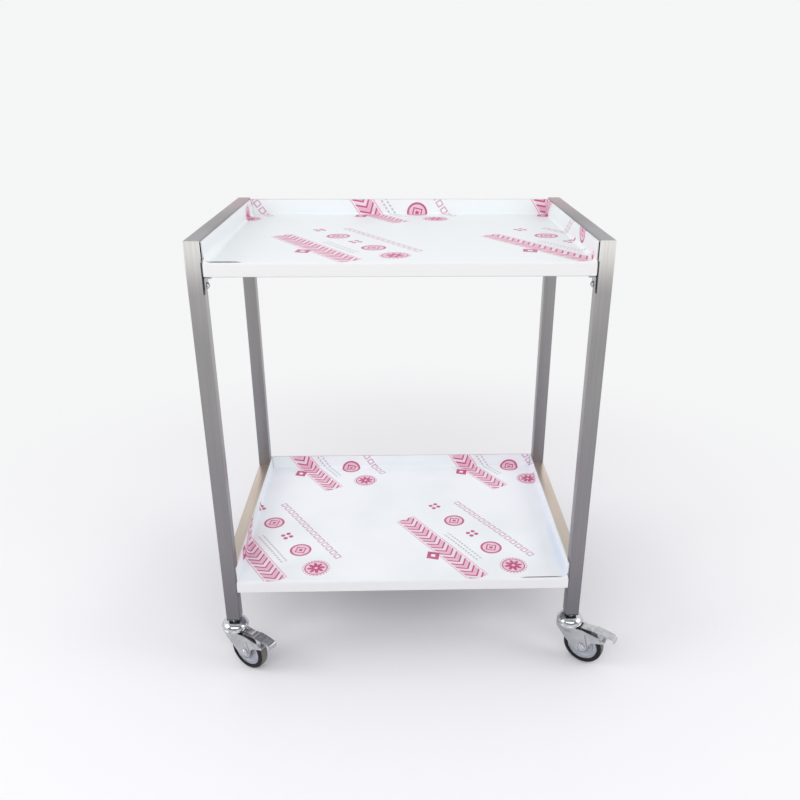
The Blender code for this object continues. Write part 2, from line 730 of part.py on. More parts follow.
def build_caster(corner, x, y):
    """One caster: fixed stem and cup, swivelling fork, wheel and pedal."""
    turn = Matrix.Rotation(math.radians(TRAIL_TURN[corner]), 4, "Z")
    foot = Matrix.Translation((x, y, 0))
    stem = add_part("stem_" + corner, stem_mesh(), "chrome", None, foot, smooth=True)
    nut = hexagon("stem_nut", NUT_FLATS, NUT_TOP_Z - NUT_HEIGHT, NUT_TOP_Z)
    boolean(stem, add_cutter("stem_nut_" + corner, nut, None, foot), "UNION")
    add_part("cup_" + corner, cup_mesh(), "chrome", None, foot, smooth=True)
    swivel = add_empty("swivel_" + corner, None, foot @ turn)
    add_part("race_" + corner, race_mesh(), "chrome", swivel, None, smooth=True)
    build_fork(corner, swivel)
    centre = add_empty("spin_" + corner, swivel, Matrix.Translation((TRAIL, 0, WHEEL_R)))
    build_axle(corner, centre)
    add_part("hub_" + corner, hub_mesh(), "hub_grey", centre, across(0, (0, 0, 0)), smooth=True)
    add_part("tyre_" + corner, tyre_mesh(), "rubber", centre, across(0, (0, 0, 0)), smooth=True)
    hinge = add_empty("press_" + corner, swivel, Matrix.Translation((PEDAL_PIVOT_X, 0, PEDAL_PIVOT_Z)))
    build_pedal(corner, hinge)


def main():
    """Build the trolley."""
    clear_scene()
    build_legs()
    build_rails()
    build_plugs()
    build_tray("tray_top", TOP_FLOOR_Z, TOP_TRAY_GAP)
    build_tray("tray_low", LOW_FLOOR_Z, LOW_TRAY_GAP)
    build_film("film_top", TOP_FLOOR_Z, TOP_TRAY_GAP)
    build_film("film_low", LOW_FLOOR_Z, LOW_TRAY_GAP)
    build_lugs()
    for corner, (x, y) in leg_points().items():
        build_caster(corner, x, y)
    bpy.context.view_layer.update()


if __name__ == "__main__":
    main()
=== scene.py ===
"""Looks of a two-shelf dressing trolley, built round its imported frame.

Metres, +Z up, the front of the trolley towards -Y, the floor at Z 0.
"""

import logging
import math
from dataclasses import dataclass
from enum import Enum
from typing import Any, Callable, Sequence, Union

import bmesh
import bpy
from mathutils import Matrix, Vector, noise


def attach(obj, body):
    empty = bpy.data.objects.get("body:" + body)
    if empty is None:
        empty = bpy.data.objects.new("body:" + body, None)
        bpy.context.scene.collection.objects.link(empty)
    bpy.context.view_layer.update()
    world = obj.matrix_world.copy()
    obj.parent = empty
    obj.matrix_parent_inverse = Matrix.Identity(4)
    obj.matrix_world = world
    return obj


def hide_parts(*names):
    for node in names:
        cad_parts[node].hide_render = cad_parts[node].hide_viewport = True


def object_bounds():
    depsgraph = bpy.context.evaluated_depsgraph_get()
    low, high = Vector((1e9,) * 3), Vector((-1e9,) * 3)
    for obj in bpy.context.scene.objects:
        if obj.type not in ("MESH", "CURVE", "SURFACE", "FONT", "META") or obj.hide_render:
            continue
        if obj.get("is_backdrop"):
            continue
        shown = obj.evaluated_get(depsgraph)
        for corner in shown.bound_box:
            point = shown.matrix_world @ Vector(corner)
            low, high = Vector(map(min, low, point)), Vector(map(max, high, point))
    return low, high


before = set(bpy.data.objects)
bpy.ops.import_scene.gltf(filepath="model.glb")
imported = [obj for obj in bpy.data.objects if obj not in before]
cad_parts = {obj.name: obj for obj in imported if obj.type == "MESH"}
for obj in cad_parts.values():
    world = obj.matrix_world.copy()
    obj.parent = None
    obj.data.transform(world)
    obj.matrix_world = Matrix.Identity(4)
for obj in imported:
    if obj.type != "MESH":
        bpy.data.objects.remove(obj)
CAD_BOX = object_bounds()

LOG = logging.getLogger("dressing_trolley")
Pair = tuple[float, float]
Colour = tuple[float, float, float, float]
Scalar = Union["Signal", float]
UV_NAME = "flat"
# mask of the painted light and shade where the film bridges a fold
BRIDGE_LIGHT_AND_SHADE = "loose"
SKY: Colour = (0.915, 0.918, 0.925, 1.0)
HAIR = 1e-6  # a mesh keeps places in single precision
TOP_FLOOR, TOP_GAP = 0.757, 0.0016  # height of the upper tray's floor, and its gap to the legs
LOW_FLOOR, LOW_GAP = 0.181, 0.0004


class Corner(Enum):
    """Corner of the trolley, by its letters in the node names."""

    FRONT_LEFT = "fl"
    FRONT_RIGHT = "fr"
    REAR_LEFT = "rl"
    REAR_RIGHT = "rr"

    @property
    def side(self) -> int:
        """Minus one on the left, plus one on the right."""
        return -1 if self.value[1] == "l" else 1

    @property
    def in_front(self) -> bool:
        """Whether the corner is a front one."""
        return self.value[0] == "f"


class Slot(Enum):
    """Material slots of the record."""

    STAINLESS = "stainless"
    FILM = "film"
    CHROME = "chrome"
    ZINC = "zinc"
    HUB = "hub_grey"
    RUBBER = "rubber"
    PLUG = "plug_black"


class Grain(Enum):
    """Direction in which a steel surface was brushed, as noise scales along X, Y and Z."""

    ALONG_X = (0.02, 1.0, 1.0)
    ALONG_Y = (1.0, 0.02, 1.0)
    ALONG_Z = (1.0, 1.0, 0.02)


def tone(code: str) -> Colour:
    """Linear colour from a six-digit screen colour.

    Args:
        code: Red, green and blue as hexadecimal digits.

    Returns:
        Linear red, green, blue and an opaque alpha.
    """
    parts = [int(code[i:i + 2], 16) / 255 for i in (0, 2, 4)]
    red, green, blue = [c / 12.92 if c <= 0.04045 else ((c + 0.055) / 1.055) ** 2.4 for c in parts]
    return (red, green, blue, 1.0)


# Node trees


class Signal:
    """A number that flows between nodes, with arithmetic."""

    def __init__(self, tree: "Graph", socket: bpy.types.NodeSocket) -> None:
        """Keeps the node tree's helper and the output socket."""
        self.tree = tree
        self.socket = socket

    def __add__(self, other: Scalar) -> "Signal":
        """Sum."""
        return self.tree.math("ADD", self, other)

    def __sub__(self, other: Scalar) -> "Signal":
        """Difference."""
        return self.tree.math("SUBTRACT", self, other)

    def __rsub__(self, other: float) -> "Signal":
        """Difference from a number."""
        return self.tree.math("SUBTRACT", other, self)

    def __mul__(self, other: Scalar) -> "Signal":
        """Product."""
        return self.tree.math("MULTIPLY", self, other)

    def __truediv__(self, other: Scalar) -> "Signal":
        """Quotient."""
        return self.tree.math("DIVIDE", self, other)

    def __abs__(self) -> "Signal":
        """Size without sign."""
        return self.tree.math("ABSOLUTE", self)

    def larger(self, other: Scalar) -> "Signal":
        """The larger of two."""
        return self.tree.math("MAXIMUM", self, other)

    def smaller(self, other: Scalar) -> "Signal":
        """The smaller of two."""
        return self.tree.math("MINIMUM", self, other)

    def floor(self) -> "Signal":
        """Next whole number below."""
        return self.tree.math("FLOOR", self)

    def sine(self) -> "Signal":
        """Sine of an angle in radians."""
        return self.tree.math("SINE", self)

    def wrapped(self, period: float) -> "Signal":
        """Distance from the nearest multiple of a period, with its sign."""
        return self - self.tree.math("ROUND", self / period) * period

    def power(self, exponent: float) -> "Signal":
        """Power."""
        return self.tree.math("POWER", self, exponent)

    def below(self, limit: float, soft: float) -> "Signal":
        """One where the number is below a limit, nought above, with a soft step."""
        return self.tree.step(self, limit + soft, limit - soft)

    def above(self, limit: float, soft: float) -> "Signal":
        """One where the number is above a limit, nought below, with a soft step."""
        return self.tree.step(self, limit - soft, limit + soft)


class Graph:
    """Typed helper round a node tree."""

    def __init__(self, tree: bpy.types.NodeTree) -> None:
        """Keeps the tree's nodes and links."""
        self.nodes = tree.nodes
        self.links = tree.links

    def add(self, kind: str, **options: Any) -> bpy.types.Node:
        """Adds a node and sets its options."""
        node = self.nodes.new(kind)
        for key, value in options.items():
            setattr(node, key, value)
        return node

    def put(self, socket: bpy.types.NodeSocket, value: Any) -> None:
        """Links a signal to a socket, or sets the socket's own value."""
        if isinstance(value, Signal):
            self.links.new(value.socket, socket)
        elif isinstance(value, bpy.types.NodeSocket):
            self.links.new(value, socket)
        else:
            socket.default_value = value

    def math(self, operation: str, first: Scalar, second: Scalar = 0.0) -> Signal:
        """Math node.

        Args:
            operation: Name of the operation.
            first: First number.
            second: Second number, where the operation has one.

        Returns:
            The result.
        """
        node = self.add("ShaderNodeMath", operation=operation)
        self.put(node.inputs[0], first)
        self.put(node.inputs[1], second)
        return Signal(self, node.outputs[0])

    def step(self, value: Scalar, low: float, high: float) -> Signal:
        """Soft step from nought at low to one at high."""
        node = self.add("ShaderNodeMapRange", interpolation_type="SMOOTHSTEP")
        self.put(node.inputs["Value"], value)
        node.inputs["From Min"].default_value = low
        node.inputs["From Max"].default_value = high
        return Signal(self, node.outputs["Result"])

    def spread(self, value: Scalar, low: float, high: float) -> Signal:
        """Straight map of a nought-to-one signal onto low to high."""
        node = self.add("ShaderNodeMapRange")
        self.put(node.inputs["Value"], value)
        node.inputs["To Min"].default_value = low
        node.inputs["To Max"].default_value = high
        return Signal(self, node.outputs["Result"])

    def place(self) -> bpy.types.NodeSocket:
        """Object coordinates."""
        return self.add("ShaderNodeTexCoord").outputs["Object"]

    def parts(self, vector: bpy.types.NodeSocket) -> tuple[Signal, Signal, Signal]:
        """The three parts of a vector."""
        node = self.add("ShaderNodeSeparateXYZ")
        self.links.new(vector, node.inputs[0])
        return tuple(Signal(self, out) for out in node.outputs)

    def flat(self) -> tuple[Signal, Signal]:
        """The two parts of the piece's own UV map, in metres."""
        node = self.add("ShaderNodeUVMap", uv_map=UV_NAME)
        across, along, _ = self.parts(node.outputs[0])
        return across, along

    def rays(self) -> tuple[Signal, Signal]:
        """Two signals: one for camera rays and one for glossy rays."""
        outputs = self.add("ShaderNodeLightPath").outputs
        return Signal(self, outputs["Is Camera Ray"]), Signal(self, outputs["Is Glossy Ray"])

    def painted(self, name: str) -> Signal:
        """The piece's own number of a name, from nought to one."""
        return Signal(self, self.add("ShaderNodeAttribute", attribute_name=name).outputs["Fac"])

    def stretched(self, scale: Sequence[float]) -> bpy.types.NodeSocket:
        """Object coordinates stretched by a scale on each axis."""
        node = self.add("ShaderNodeMapping")
        self.links.new(self.place(), node.inputs["Vector"])
        node.inputs["Scale"].default_value = tuple(scale)
        return node.outputs["Vector"]

    def speckle(self, scale: float, detail: float = 2.0, rough: float = 0.5,
                vector: Union[bpy.types.NodeSocket, None] = None) -> Signal:
        """Noise from nought to one.

        Args:
            scale: Waves in a metre.
            detail: Number of finer layers.
            rough: Weight of the finer layers.
            vector: Coordinates, or None for plain object coordinates.

        Returns:
            The noise.
        """
        node = self.add("ShaderNodeTexNoise")
        self.links.new(vector or self.place(), node.inputs["Vector"])
        node.inputs["Scale"].default_value = scale
        node.inputs["Detail"].default_value = detail
        node.inputs["Roughness"].default_value = rough
        return Signal(self, node.outputs["Fac"])

    def blend(self, share: Scalar, first: Any, second: Any) -> bpy.types.NodeSocket:
        """Mix of two colours.

        Args:
            share: Nought gives the first colour, one the second.
            first: Colour or colour socket.
            second: Colour or colour socket.

        Returns:
            The mixed colour.
        """
        node = self.add("ShaderNodeMix", data_type="RGBA")
        for place, value in ((0, share), (6, first), (7, second)):
            self.put(node.inputs[place], value)
        return node.outputs[2]

    def relief(self, height: Signal, depth: float, strength: float = 1.0,
               under: Union[bpy.types.NodeSocket, None] = None) -> bpy.types.NodeSocket:
        """Bump from a height.

        Args:
            height: Height signal.
            depth: Metres that a height of one stands for.
            strength: Strength of the bump.
            under: Normal of another bump below this one.

        Returns:
            The bent normal.
        """
        node = self.add("ShaderNodeBump")
        node.inputs["Strength"].default_value = strength
        node.inputs["Distance"].default_value = depth
        self.put(node.inputs["Height"], height)
        if under is not None:
            self.links.new(under, node.inputs["Normal"])
        return node.outputs["Normal"]


class Tree(Graph):
    """Helper round one material's node tree."""

    def __init__(self, name: str) -> None:
        """Makes an empty node material.

        Args:
            name: Name of the material.
        """
        self.material = bpy.data.materials.new(name)
        self.material.use_nodes = True
        super().__init__(self.material.node_tree)
        self.shader = self.nodes["Principled BSDF"]

    def dress(self, **sockets: Any) -> bpy.types.Material:
        """Sets or links sockets of the shader, named with underscores for spaces.

        Args:
            sockets: Values or signals by socket.

        Returns:
            The material.
        """
        for name, value in sockets.items():
            self.put(self.shader.inputs[name.replace("_", " ")], value)
        return self.material


def bearing(first: Signal, second: Signal) -> Signal:
    """Angle of a point from its two parts, in radians."""
    return first.tree.math("ARCTAN2", first, second)


# Finishes


@dataclass(frozen=True)
class Finish:
    """A surface finish that makes its material once."""

    name: str

    def material(self) -> bpy.types.Material:
        """The finish's material, made on first use."""
        return bpy.data.materials.get(self.name) or self.make(Tree(self.name))

    def make(self, tree: Tree) -> bpy.types.Material:
        """Fills the node tree.

        Args:
            tree: Empty tree of the material.

        Returns:
            The finished material.
        """
        raise NotImplementedError


@dataclass(frozen=True)
class BrushedSteel(Finish):
    """Stainless sheet or tube with a brushed grain, whose tone drifts along one axis; on the legs,
    the lower rails and the trays that drift paints reflections and highlights.

    A flank tone, where one is given, takes over on the outer faces of the side frames.
    """

    grain: Grain
    stops: tuple[tuple[float, str], ...]
    axis: int = 2
    dull: str = "77767A"
    rough: float = 0.30
    flank: str = ""
    flank_x: float = 0.3226
    flank_fade: float = 0.002
    streaks: float = 0.26
    smudges: float = 0.08

    def make(self, tree: Tree) -> bpy.types.Material:
        """Streaks along the grain, soft smudges and a drift of tone along the axis."""
        fine = tree.speckle(1600, 3, 0.6, tree.stretched(self.grain.value))
        broad = tree.speckle(240, 2, 0.5, tree.stretched(self.grain.value))
        smudge = tree.speckle(7, 3, 0.55)
        spot = tree.parts(tree.place())[self.axis]
        body: Any = tone(self.stops[0][1])
        # tone stops along the axis: painted reflections and highlights on the legs, lower rails and
        # trays
        for (start, _), (end, code) in zip(self.stops, self.stops[1:]):
            body = tree.blend(tree.step(spot, start, end), body, tone(code))
        if self.flank:
            across = abs(tree.parts(tree.place())[0])
            aside = tree.step(across, self.flank_x, self.flank_x + self.flank_fade)
            body = tree.blend(aside, body, tone(self.flank))
        streak = tree.step(broad * 0.6 + fine * 0.4, 0.30, 0.75)
        dulled = streak * self.streaks + tree.step(smudge, 0.45, 0.75) * self.smudges
        colour = self.shaded(tree, tree.blend(dulled, body, tone(self.dull)))
        rough = tree.spread(smudge * 0.6 + fine * 0.4, self.rough - 0.08, self.rough + 0.14)
        normal = tree.relief(fine * 0.7 + broad * 0.3, 0.00005, 0.45)
        return tree.dress(Base_Color=colour, Metallic=1.0, Roughness=rough, Normal=normal)

    def shaded(self, tree: Tree, colour: bpy.types.NodeSocket) -> bpy.types.NodeSocket:
        """The tone with whatever painted shade lies on it."""
        return colour


@dataclass(frozen=True)
class LegSteel(BrushedSteel):
    """Steel of the legs, with a painted shadow line where the upper tray's apron comes close."""

    inner_x: float = 0.3015
    edge_y: float = 0.2170
    low: float = 0.7080
    high: float = 0.7575
    share: float = 0.88
    # colour of the painted shadow line beside the apron
    line: str = "202024"

    def shaded(self, tree: Tree, colour: bpy.types.NodeSocket) -> bpy.types.NodeSocket:
        """The tone with a painted shadow line on the inner edge of each front leg."""
        across, along, height = tree.parts(tree.place())
        near = abs(across).below(self.inner_x, 0.0004) * along.below(-self.edge_y, 0.0010)
        near = near * height.above(self.low, 0.0015) * height.below(self.high, 0.0015)
        return tree.blend(near * self.share, colour, tone(self.line))


@dataclass(frozen=True)
class PrintGroup:
    """One group of the film's print: A runs along its row and B across it, in metres."""

    soft: float = 0.0004
    band_b: float = 0.067
    band_reach: float = 0.124
    band_half: float = 0.0165
    band_ink: float = 0.30
    chevron_lean: float = 0.9
    chevron_pitch: float = 0.0270
    chevron_fill: float = 0.0068
    chevron_edge: float = 0.0072
    chevron_line: float = 0.0021
    chevron_ink: float = 0.75
    rail_b: float = 0.0195
    rail_line: float = 0.0009
    lozenge: Pair = (0.018, 0.096)
    lozenge_slope: float = 1.1
    lozenge_outer: float = 0.0170
    lozenge_inner: float = 0.0060
    dash: Pair = (0.023, 0.030)
    dash_rows: float = 0.0045
    dash_line: float = 0.0018
    dash_reach: float = 0.055
    dash_pitch: float = 0.0080
    dash_half: float = 0.0026
    ring: Pair = (0.063, 0.013)
    ring_pitch: float = 0.120
    ring_span: Pair = (0.003, 0.088)
    ring_r: float = 0.0185
    ring_line: float = 0.0021
    ring_fill: float = 0.0165
    ring_ink: float = 0.55
    core_r: float = 0.0115
    core_line: float = 0.0017
    core_dot: float = 0.0068
    clover_a: float = 0.133
    clover_pitch: float = 0.130
    clover_span: Pair = (0.068, 0.088)
    clover_out: float = 0.0058
    clover_dot: float = 0.0044
    rosette_at: Pair = (0.127, 0.010)
    rosette_r: float = 0.0205
    rosette_line: float = 0.0012
    rosette_fill: float = 0.0195
    rosette_eye: float = 0.0032
    petals: float = 4.0
    petal_root: float = 0.0072
    petal_swing: float = 0.0095
    beads: float = 12.0
    bead_r: float = 0.0243
    bead_line: float = 0.0013
    bead_share: float = 0.55
    square_b: float = 0.061
    square_pitch: float = 0.0165
    square_half: float = 0.0052
    square_line: float = 0.0013
    square_reach: float = 0.122
    square_ink: float = 0.55

    def inks(self, a: Signal, b: Signal) -> tuple[Signal, Signal, Signal]:
        """Masks of the whole group.

        Args:
            a: Metres along the row.
            b: Metres across the row.

        Returns:
            Masks of the strong, the weak and the thin ink.
        """
        band, band_tint = self.chevrons(a, b)
        ring, ring_tint = self.rings(a, b)
        rosette, rosette_tint = self.rosette(a, b)
        squares = self.squares(a, b)
        strong = band.larger(self.lozenges(a, b)).larger(ring).larger(rosette)
        strong = strong.larger(self.clovers(a, b))
        weak = band_tint.larger(ring_tint).larger(rosette_tint).larger(squares * self.square_ink)
        return strong, weak, squares.larger(self.dashes(a, b))

    def chevrons(self, a: Signal, b: Signal) -> tuple[Signal, Signal]:
        """Strong and weak ink of the band of chevrons between two rails."""
        beam = abs(a) - self.band_reach
        offset = b + self.band_b
        band = beam.larger(abs(offset) - self.band_half).below(0.0, self.soft)
        chevron = abs((a + abs(offset) * self.chevron_lean).wrapped(self.chevron_pitch))
        fill = band * chevron.below(self.chevron_fill, self.soft)
        line = abs(chevron - self.chevron_edge).below(self.chevron_line, self.soft)
        rail = beam.larger(abs(abs(offset) - self.rail_b) - self.rail_line).below(0.0, self.soft)
        return band * line, rail.larger(fill * self.chevron_ink).larger(band * self.band_ink)

    def lozenges(self, a: Signal, b: Signal) -> Signal:
        """The lozenge beside the band, with its middle left open."""
        reach = abs(a - self.lozenge[0]) + abs(b + self.lozenge[1]) * self.lozenge_slope
        inside = reach.below(self.lozenge_outer, self.soft)
        return inside - reach.below(self.lozenge_inner, self.soft)

    def dashes(self, a: Signal, b: Signal) -> Signal:
        """Two rows of fine dashes."""
        rows = abs(abs(b + self.dash[1]) - self.dash_rows) - self.dash_line
        inside = rows.larger(abs(a - self.dash[0]) - self.dash_reach).below(0.0, self.soft)
        return inside * abs(a.wrapped(self.dash_pitch)).below(self.dash_half, self.soft)

    def rings(self, a: Signal, b: Signal) -> tuple[Signal, Signal]:
        """Strong and weak ink of the two rings with a square in each."""
        item = (a + self.ring[0]).wrapped(self.ring_pitch)
        near = self.within(a, self.ring_span)
        mid = b - self.ring[1]
        reach = (item * item + mid * mid).power(0.5)
        ring = abs(reach - self.ring_r).below(self.ring_line, self.soft) * near
        core = (abs(item) + abs(mid)) - self.core_r
        dot = abs(core).below(self.core_line, self.soft)
        dot = dot.larger(core.below(-self.core_dot, self.soft))
        tint = reach.below(self.ring_fill, self.soft) * near * self.ring_ink
        return ring.larger(dot * near), tint

    def clovers(self, a: Signal, b: Signal) -> Signal:
        """Groups of four dots between the rings."""
        wide = abs((a + self.clover_a).wrapped(self.clover_pitch)) - self.clover_out
        deep = abs(b - self.ring[1]) - self.clover_out
        dots = (wide * wide + deep * deep).power(0.5).below(self.clover_dot, self.soft)
        return dots * self.within(a, self.clover_span)

    def within(self, a: Signal, span: Pair) -> Signal:
        """Mask of a stretch of the row, given by its offset and its half length."""
        return (abs(a + span[0]) - span[1]).below(0.0, self.soft)

    def rosette(self, a: Signal, b: Signal) -> tuple[Signal, Signal]:
        """Strong and weak ink of the petals in a ring of beads."""
        across, along = b - self.rosette_at[1], a - self.rosette_at[0]
        reach = (across * across + along * along).power(0.5)
        spoke = bearing(across, along)
        petal = (reach - abs((spoke * self.petals).sine()) * self.petal_swing).below(
            self.petal_root, self.soft) * reach.above(self.rosette_eye, self.soft)
        ring = abs(reach - self.rosette_r).below(self.rosette_line, self.soft)
        bead = abs((spoke * self.beads).sine()).above(self.bead_share, 0.1)
        bead = bead * abs(reach - self.bead_r).below(self.bead_line, self.soft)
        return petal.larger(ring), bead.larger(reach.below(self.rosette_fill, self.soft) * 0.55)

    def squares(self, a: Signal, b: Signal) -> Signal:
        """Row of small square frames."""
        reach = abs(b - self.square_b).larger(abs(a.wrapped(self.square_pitch)))
        line = abs(reach - self.square_half).below(self.square_line, self.soft)
        return line * abs(a).below(self.square_reach, self.soft)


@dataclass(frozen=True)
class PrintedFilm(Finish):
    """White protective film with a slanting repeat of plain geometric print."""

    centre: Pair
    front: float
    # tone of the front flap: painted shade, greyer than the ground
    apron: str
    ground: str
    # tone where the film bridges a side fold: painted light on the upper film, painted bluish shade
    # on the lower
    loose: str
    pitch: float
    group: PrintGroup = PrintGroup()
    row_pitch: float = 0.3402
    row_shift: float = 0.0792
    slant: Pair = (0.5375, 0.8433)
    ground_shade: str = "E9EDF0"
    crimson: str = "BE4078"
    pink: str = "DF8CB0"
    grey: str = "AFA9B8"

    def make(self, tree: Tree) -> bpy.types.Material:
        """Print on the piece's own flat map, over film with faint ripples."""
        along, across = self.local(tree)
        wander = (tree.speckle(900, 2, 0.5) - 0.5) * 0.0007
        inked = tree.speckle(60, 3, 0.6)
        strong, weak, thin = self.group.inks(along + wander, across + wander)
        _, depth = tree.flat()
        on_floor = depth.above(self.front, 0.0002)
        cover = tree.spread(inked, 0.80, 1.06).smaller(1.0) * on_floor
        shade = tree.step(tree.speckle(5, 2, 0.5), 0.35, 0.70)
        colour = tree.blend(shade, tone(self.ground), tone(self.ground_shade))
        # painted shade over the front flap below the fold
        colour = tree.blend(depth.above(self.front - 0.0010, 0.0012), tone(self.apron), colour)
        # painted light and shade where the film bridges the side folds
        colour = tree.blend(tree.painted(BRIDGE_LIGHT_AND_SHADE) * 0.8, colour, tone(self.loose))
        colour = tree.blend(thin * cover * 0.75, colour, tone(self.grey))
        colour = tree.blend(weak * cover * 0.9, colour, tone(self.pink))
        colour = tree.blend(strong * cover, colour, tone(self.crimson))
        ripple = tree.speckle(14, 2, 0.45, tree.stretched((1.0, 0.45, 1.0)))
        normal = tree.relief(ripple, 0.0010, 0.25)
        normal = tree.relief(tree.speckle(90, 2, 0.5), 0.00008, 0.20, normal)
        rough = tree.spread(inked * 0.5 + ripple * 0.5, 0.30, 0.48)
        return tree.dress(Base_Color=colour, Roughness=rough, Normal=normal, Specular_IOR_Level=0.22)

    def local(self, tree: Tree) -> tuple[Signal, Signal]:
        """Place inside the nearest print group.

        Args:
            tree: Tree that gets the nodes.

        Returns:
            Metres along and across the slanting rows, from the group's middle.
        """
        wide, deep = tree.flat()
        wide = wide - self.centre[0]
        deep = deep - self.centre[1]
        row = (deep / self.row_pitch + 0.5).floor()
        wide = wide - row * self.row_shift
        deep = deep - row * self.row_pitch
        wide = wide.wrapped(self.pitch)
        cosine, sine = self.slant
        return wide * cosine - deep * sine, wide * sine + deep * cosine


@dataclass(frozen=True)
class Plating(Finish):
    """Bright plated metal with faint turning rings and cloudy smears."""

    colour: str
    shade: str
    rough: float
    rings: float = 0.0

    def make(self, tree: Tree) -> bpy.types.Material:
        """Cloudy tone, uneven gloss and a fine skin."""
        cloud = tree.speckle(120, 3, 0.6)
        skin = tree.speckle(1500, 2, 0.5)
        colour = tree.blend(tree.step(cloud, 0.35, 0.70), tone(self.colour), tone(self.shade))
        rough = tree.spread(cloud * 0.6 + skin * 0.4, self.rough * 0.6, self.rough * 1.5)
        height = skin
        if self.rings:
            radius, _ = tree.flat()
            height = skin * 0.4 + abs(radius.wrapped(self.rings)) / self.rings
        normal = tree.relief(height, 0.00003, 0.35)
        return tree.dress(Base_Color=colour, Metallic=1.0, Roughness=rough, Normal=normal)


@dataclass(frozen=True)
class ForkZinc(Finish):
    """Bright zinc of a pressed fork, with painted shade in its crease."""

    colour: str = "C6C7CA"
    shade: str = "B2B3B8"
    painted_crease_shade: str = "2C2C30"
    rough: float = 0.27
    axle: Pair = (0.0310, 0.0375)
    crease_r: float = 0.0112
    crease_top: float = 0.0640
    lean: float = 0.26
    half_line: float = 0.00055

    def make(self, tree: Tree) -> bpy.types.Material:
        """Even zinc with a spangle too fine to count, and painted shade in the drawn crease."""
        cloud = tree.speckle(60, 2, 0.5)
        spangle = tree.speckle(650, 3, 0.6)
        line = self.crease(tree)
        colour = tree.blend(tree.step(cloud * 0.5 + spangle * 0.5, 0.38, 0.66), tone(self.colour),
                            tone(self.shade))
        # painted shade in the pressed crease
        colour = tree.blend(line * 0.88, colour, tone(self.painted_crease_shade))
        rough = tree.spread(spangle * 0.6 + cloud * 0.4, self.rough - 0.06, self.rough + 0.10)
        normal = tree.relief(spangle * 0.3 - line, 0.00012, 0.5)
        return tree.dress(Base_Color=colour, Metallic=1.0, Roughness=rough, Normal=normal)

    def crease(self, tree: Tree) -> Signal:
        """Mask of the crease's painted shade: an arc behind the axle and a leaning line above it."""
        along, high = tree.flat()
        x = along - self.axle[0]
        z = high - self.axle[1]
        reach = (x * x + z * z).power(0.5)
        arc = abs(reach - self.crease_r).below(self.half_line, 0.0002)
        arc = arc * (z * 0.9 - x).below(-0.0020, 0.0006) * z.below(0.0052, 0.0003)
        stem = abs(x - self.crease_r * 0.885 + (z - 0.0052) * self.lean)
        stem = stem.below(self.half_line, 0.0002)
        stem = stem * z.above(0.0050, 0.0003) * high.below(self.crease_top, 0.0010)
        return arc.larger(stem)


@dataclass(frozen=True)
class HubPaint(Finish):
    """Grey moulded wheel centre with concentric lines and a little dirt at the rim."""

    colour: str = "ABAEB8"
    dirt: str = "77757A"

    def make(self, tree: Tree) -> bpy.types.Material:
        """Grey with fine lines by radius and dust towards the rim."""
        radius, _ = tree.flat()
        grain = tree.speckle(700, 2, 0.5)
        patch = tree.speckle(90, 3, 0.6)
        edge = radius.above(0.0262, 0.0018) * tree.step(patch, 0.35, 0.65)
        colour = tree.blend(edge * 0.7, tone(self.colour), tone(self.dirt))
        height = grain * 0.4 + abs(radius.wrapped(0.0014)) / 0.0014
        normal = tree.relief(height, 0.00005, 0.4)
        rough = tree.spread(patch, 0.28, 0.50)
        return tree.dress(Base_Color=colour, Metallic=0.45, Roughness=rough, Normal=normal)


@dataclass(frozen=True)
class Rubber(Finish):
    """Dark tyre wall with a lighter scuffed tread."""

    wall: str = "16161A"
    tread: str = "74726E"
    dust: str = "85827D"
    tread_radius: float = 0.0366

    def make(self, tree: Tree) -> bpy.types.Material:
        """Wall and tread by radius, with dust and fine scuffs."""
        radius, _ = tree.flat()
        grit = tree.speckle(900, 3, 0.6)
        patch = tree.speckle(110, 3, 0.6)
        worn = radius.above(self.tread_radius, 0.0005)
        colour = tree.blend(worn * tree.spread(patch, 0.55, 1.0), tone(self.wall), tone(self.tread))
        colour = tree.blend(tree.step(grit, 0.62, 0.80) * 0.25, colour, tone(self.dust))
        rough = tree.spread(patch * 0.5 + grit * 0.5, 0.45, 0.80)
        normal = tree.relief(grit, 0.00010, 0.45)
        return tree.dress(Base_Color=colour, Roughness=rough, Normal=normal, Specular_IOR_Level=0.30)


@dataclass(frozen=True)
class PlugPlastic(Finish):
    """Black moulded plastic of the leg plugs."""

    colour: str = "2A2A2C"
    pale: str = "4A4A4C"

    def make(self, tree: Tree) -> bpy.types.Material:
        """Slightly greyed black with a fine moulded skin."""
        skin = tree.speckle(1400, 2, 0.5)
        patch = tree.speckle(150, 3, 0.6)
        colour = tree.blend(tree.step(patch, 0.45, 0.80) * 0.5, tone(self.colour), tone(self.pale))
        rough = tree.spread(patch, 0.38, 0.60)
        return tree.dress(Base_Color=colour, Roughness=rough, Normal=tree.relief(skin, 0.00004, 0.4))


@dataclass(frozen=True)
class StudioPaint(Finish):
    """Pale studio floor that fades into the sky's colour all round."""

    floor: str = "EDECEF"
    patch: str = "F6F6F8"
    near: float = 0.50
    far: float = 1.5

    def make(self, tree: Tree) -> bpy.types.Material:
        """Pale matt floor, seen as bright as the sky away from the trolley."""
        wide, deep, _ = tree.parts(tree.place())
        away = tree.step((wide * wide + deep * deep).power(0.5), self.near, self.far)
        to_camera, to_gloss = tree.rays()
        faded = away * to_camera.larger(to_gloss)
        colour = tree.blend(tree.speckle(3, 2, 0.5) * 0.10, tone(self.floor), tone(self.patch))
        colour = tree.blend(faded, colour, (0.0, 0.0, 0.0, 1.0))
        return tree.dress(Base_Color=colour, Roughness=0.9, Specular_IOR_Level=0.0,
                          Emission_Color=SKY, Emission_Strength=faded)


# Mesh helpers


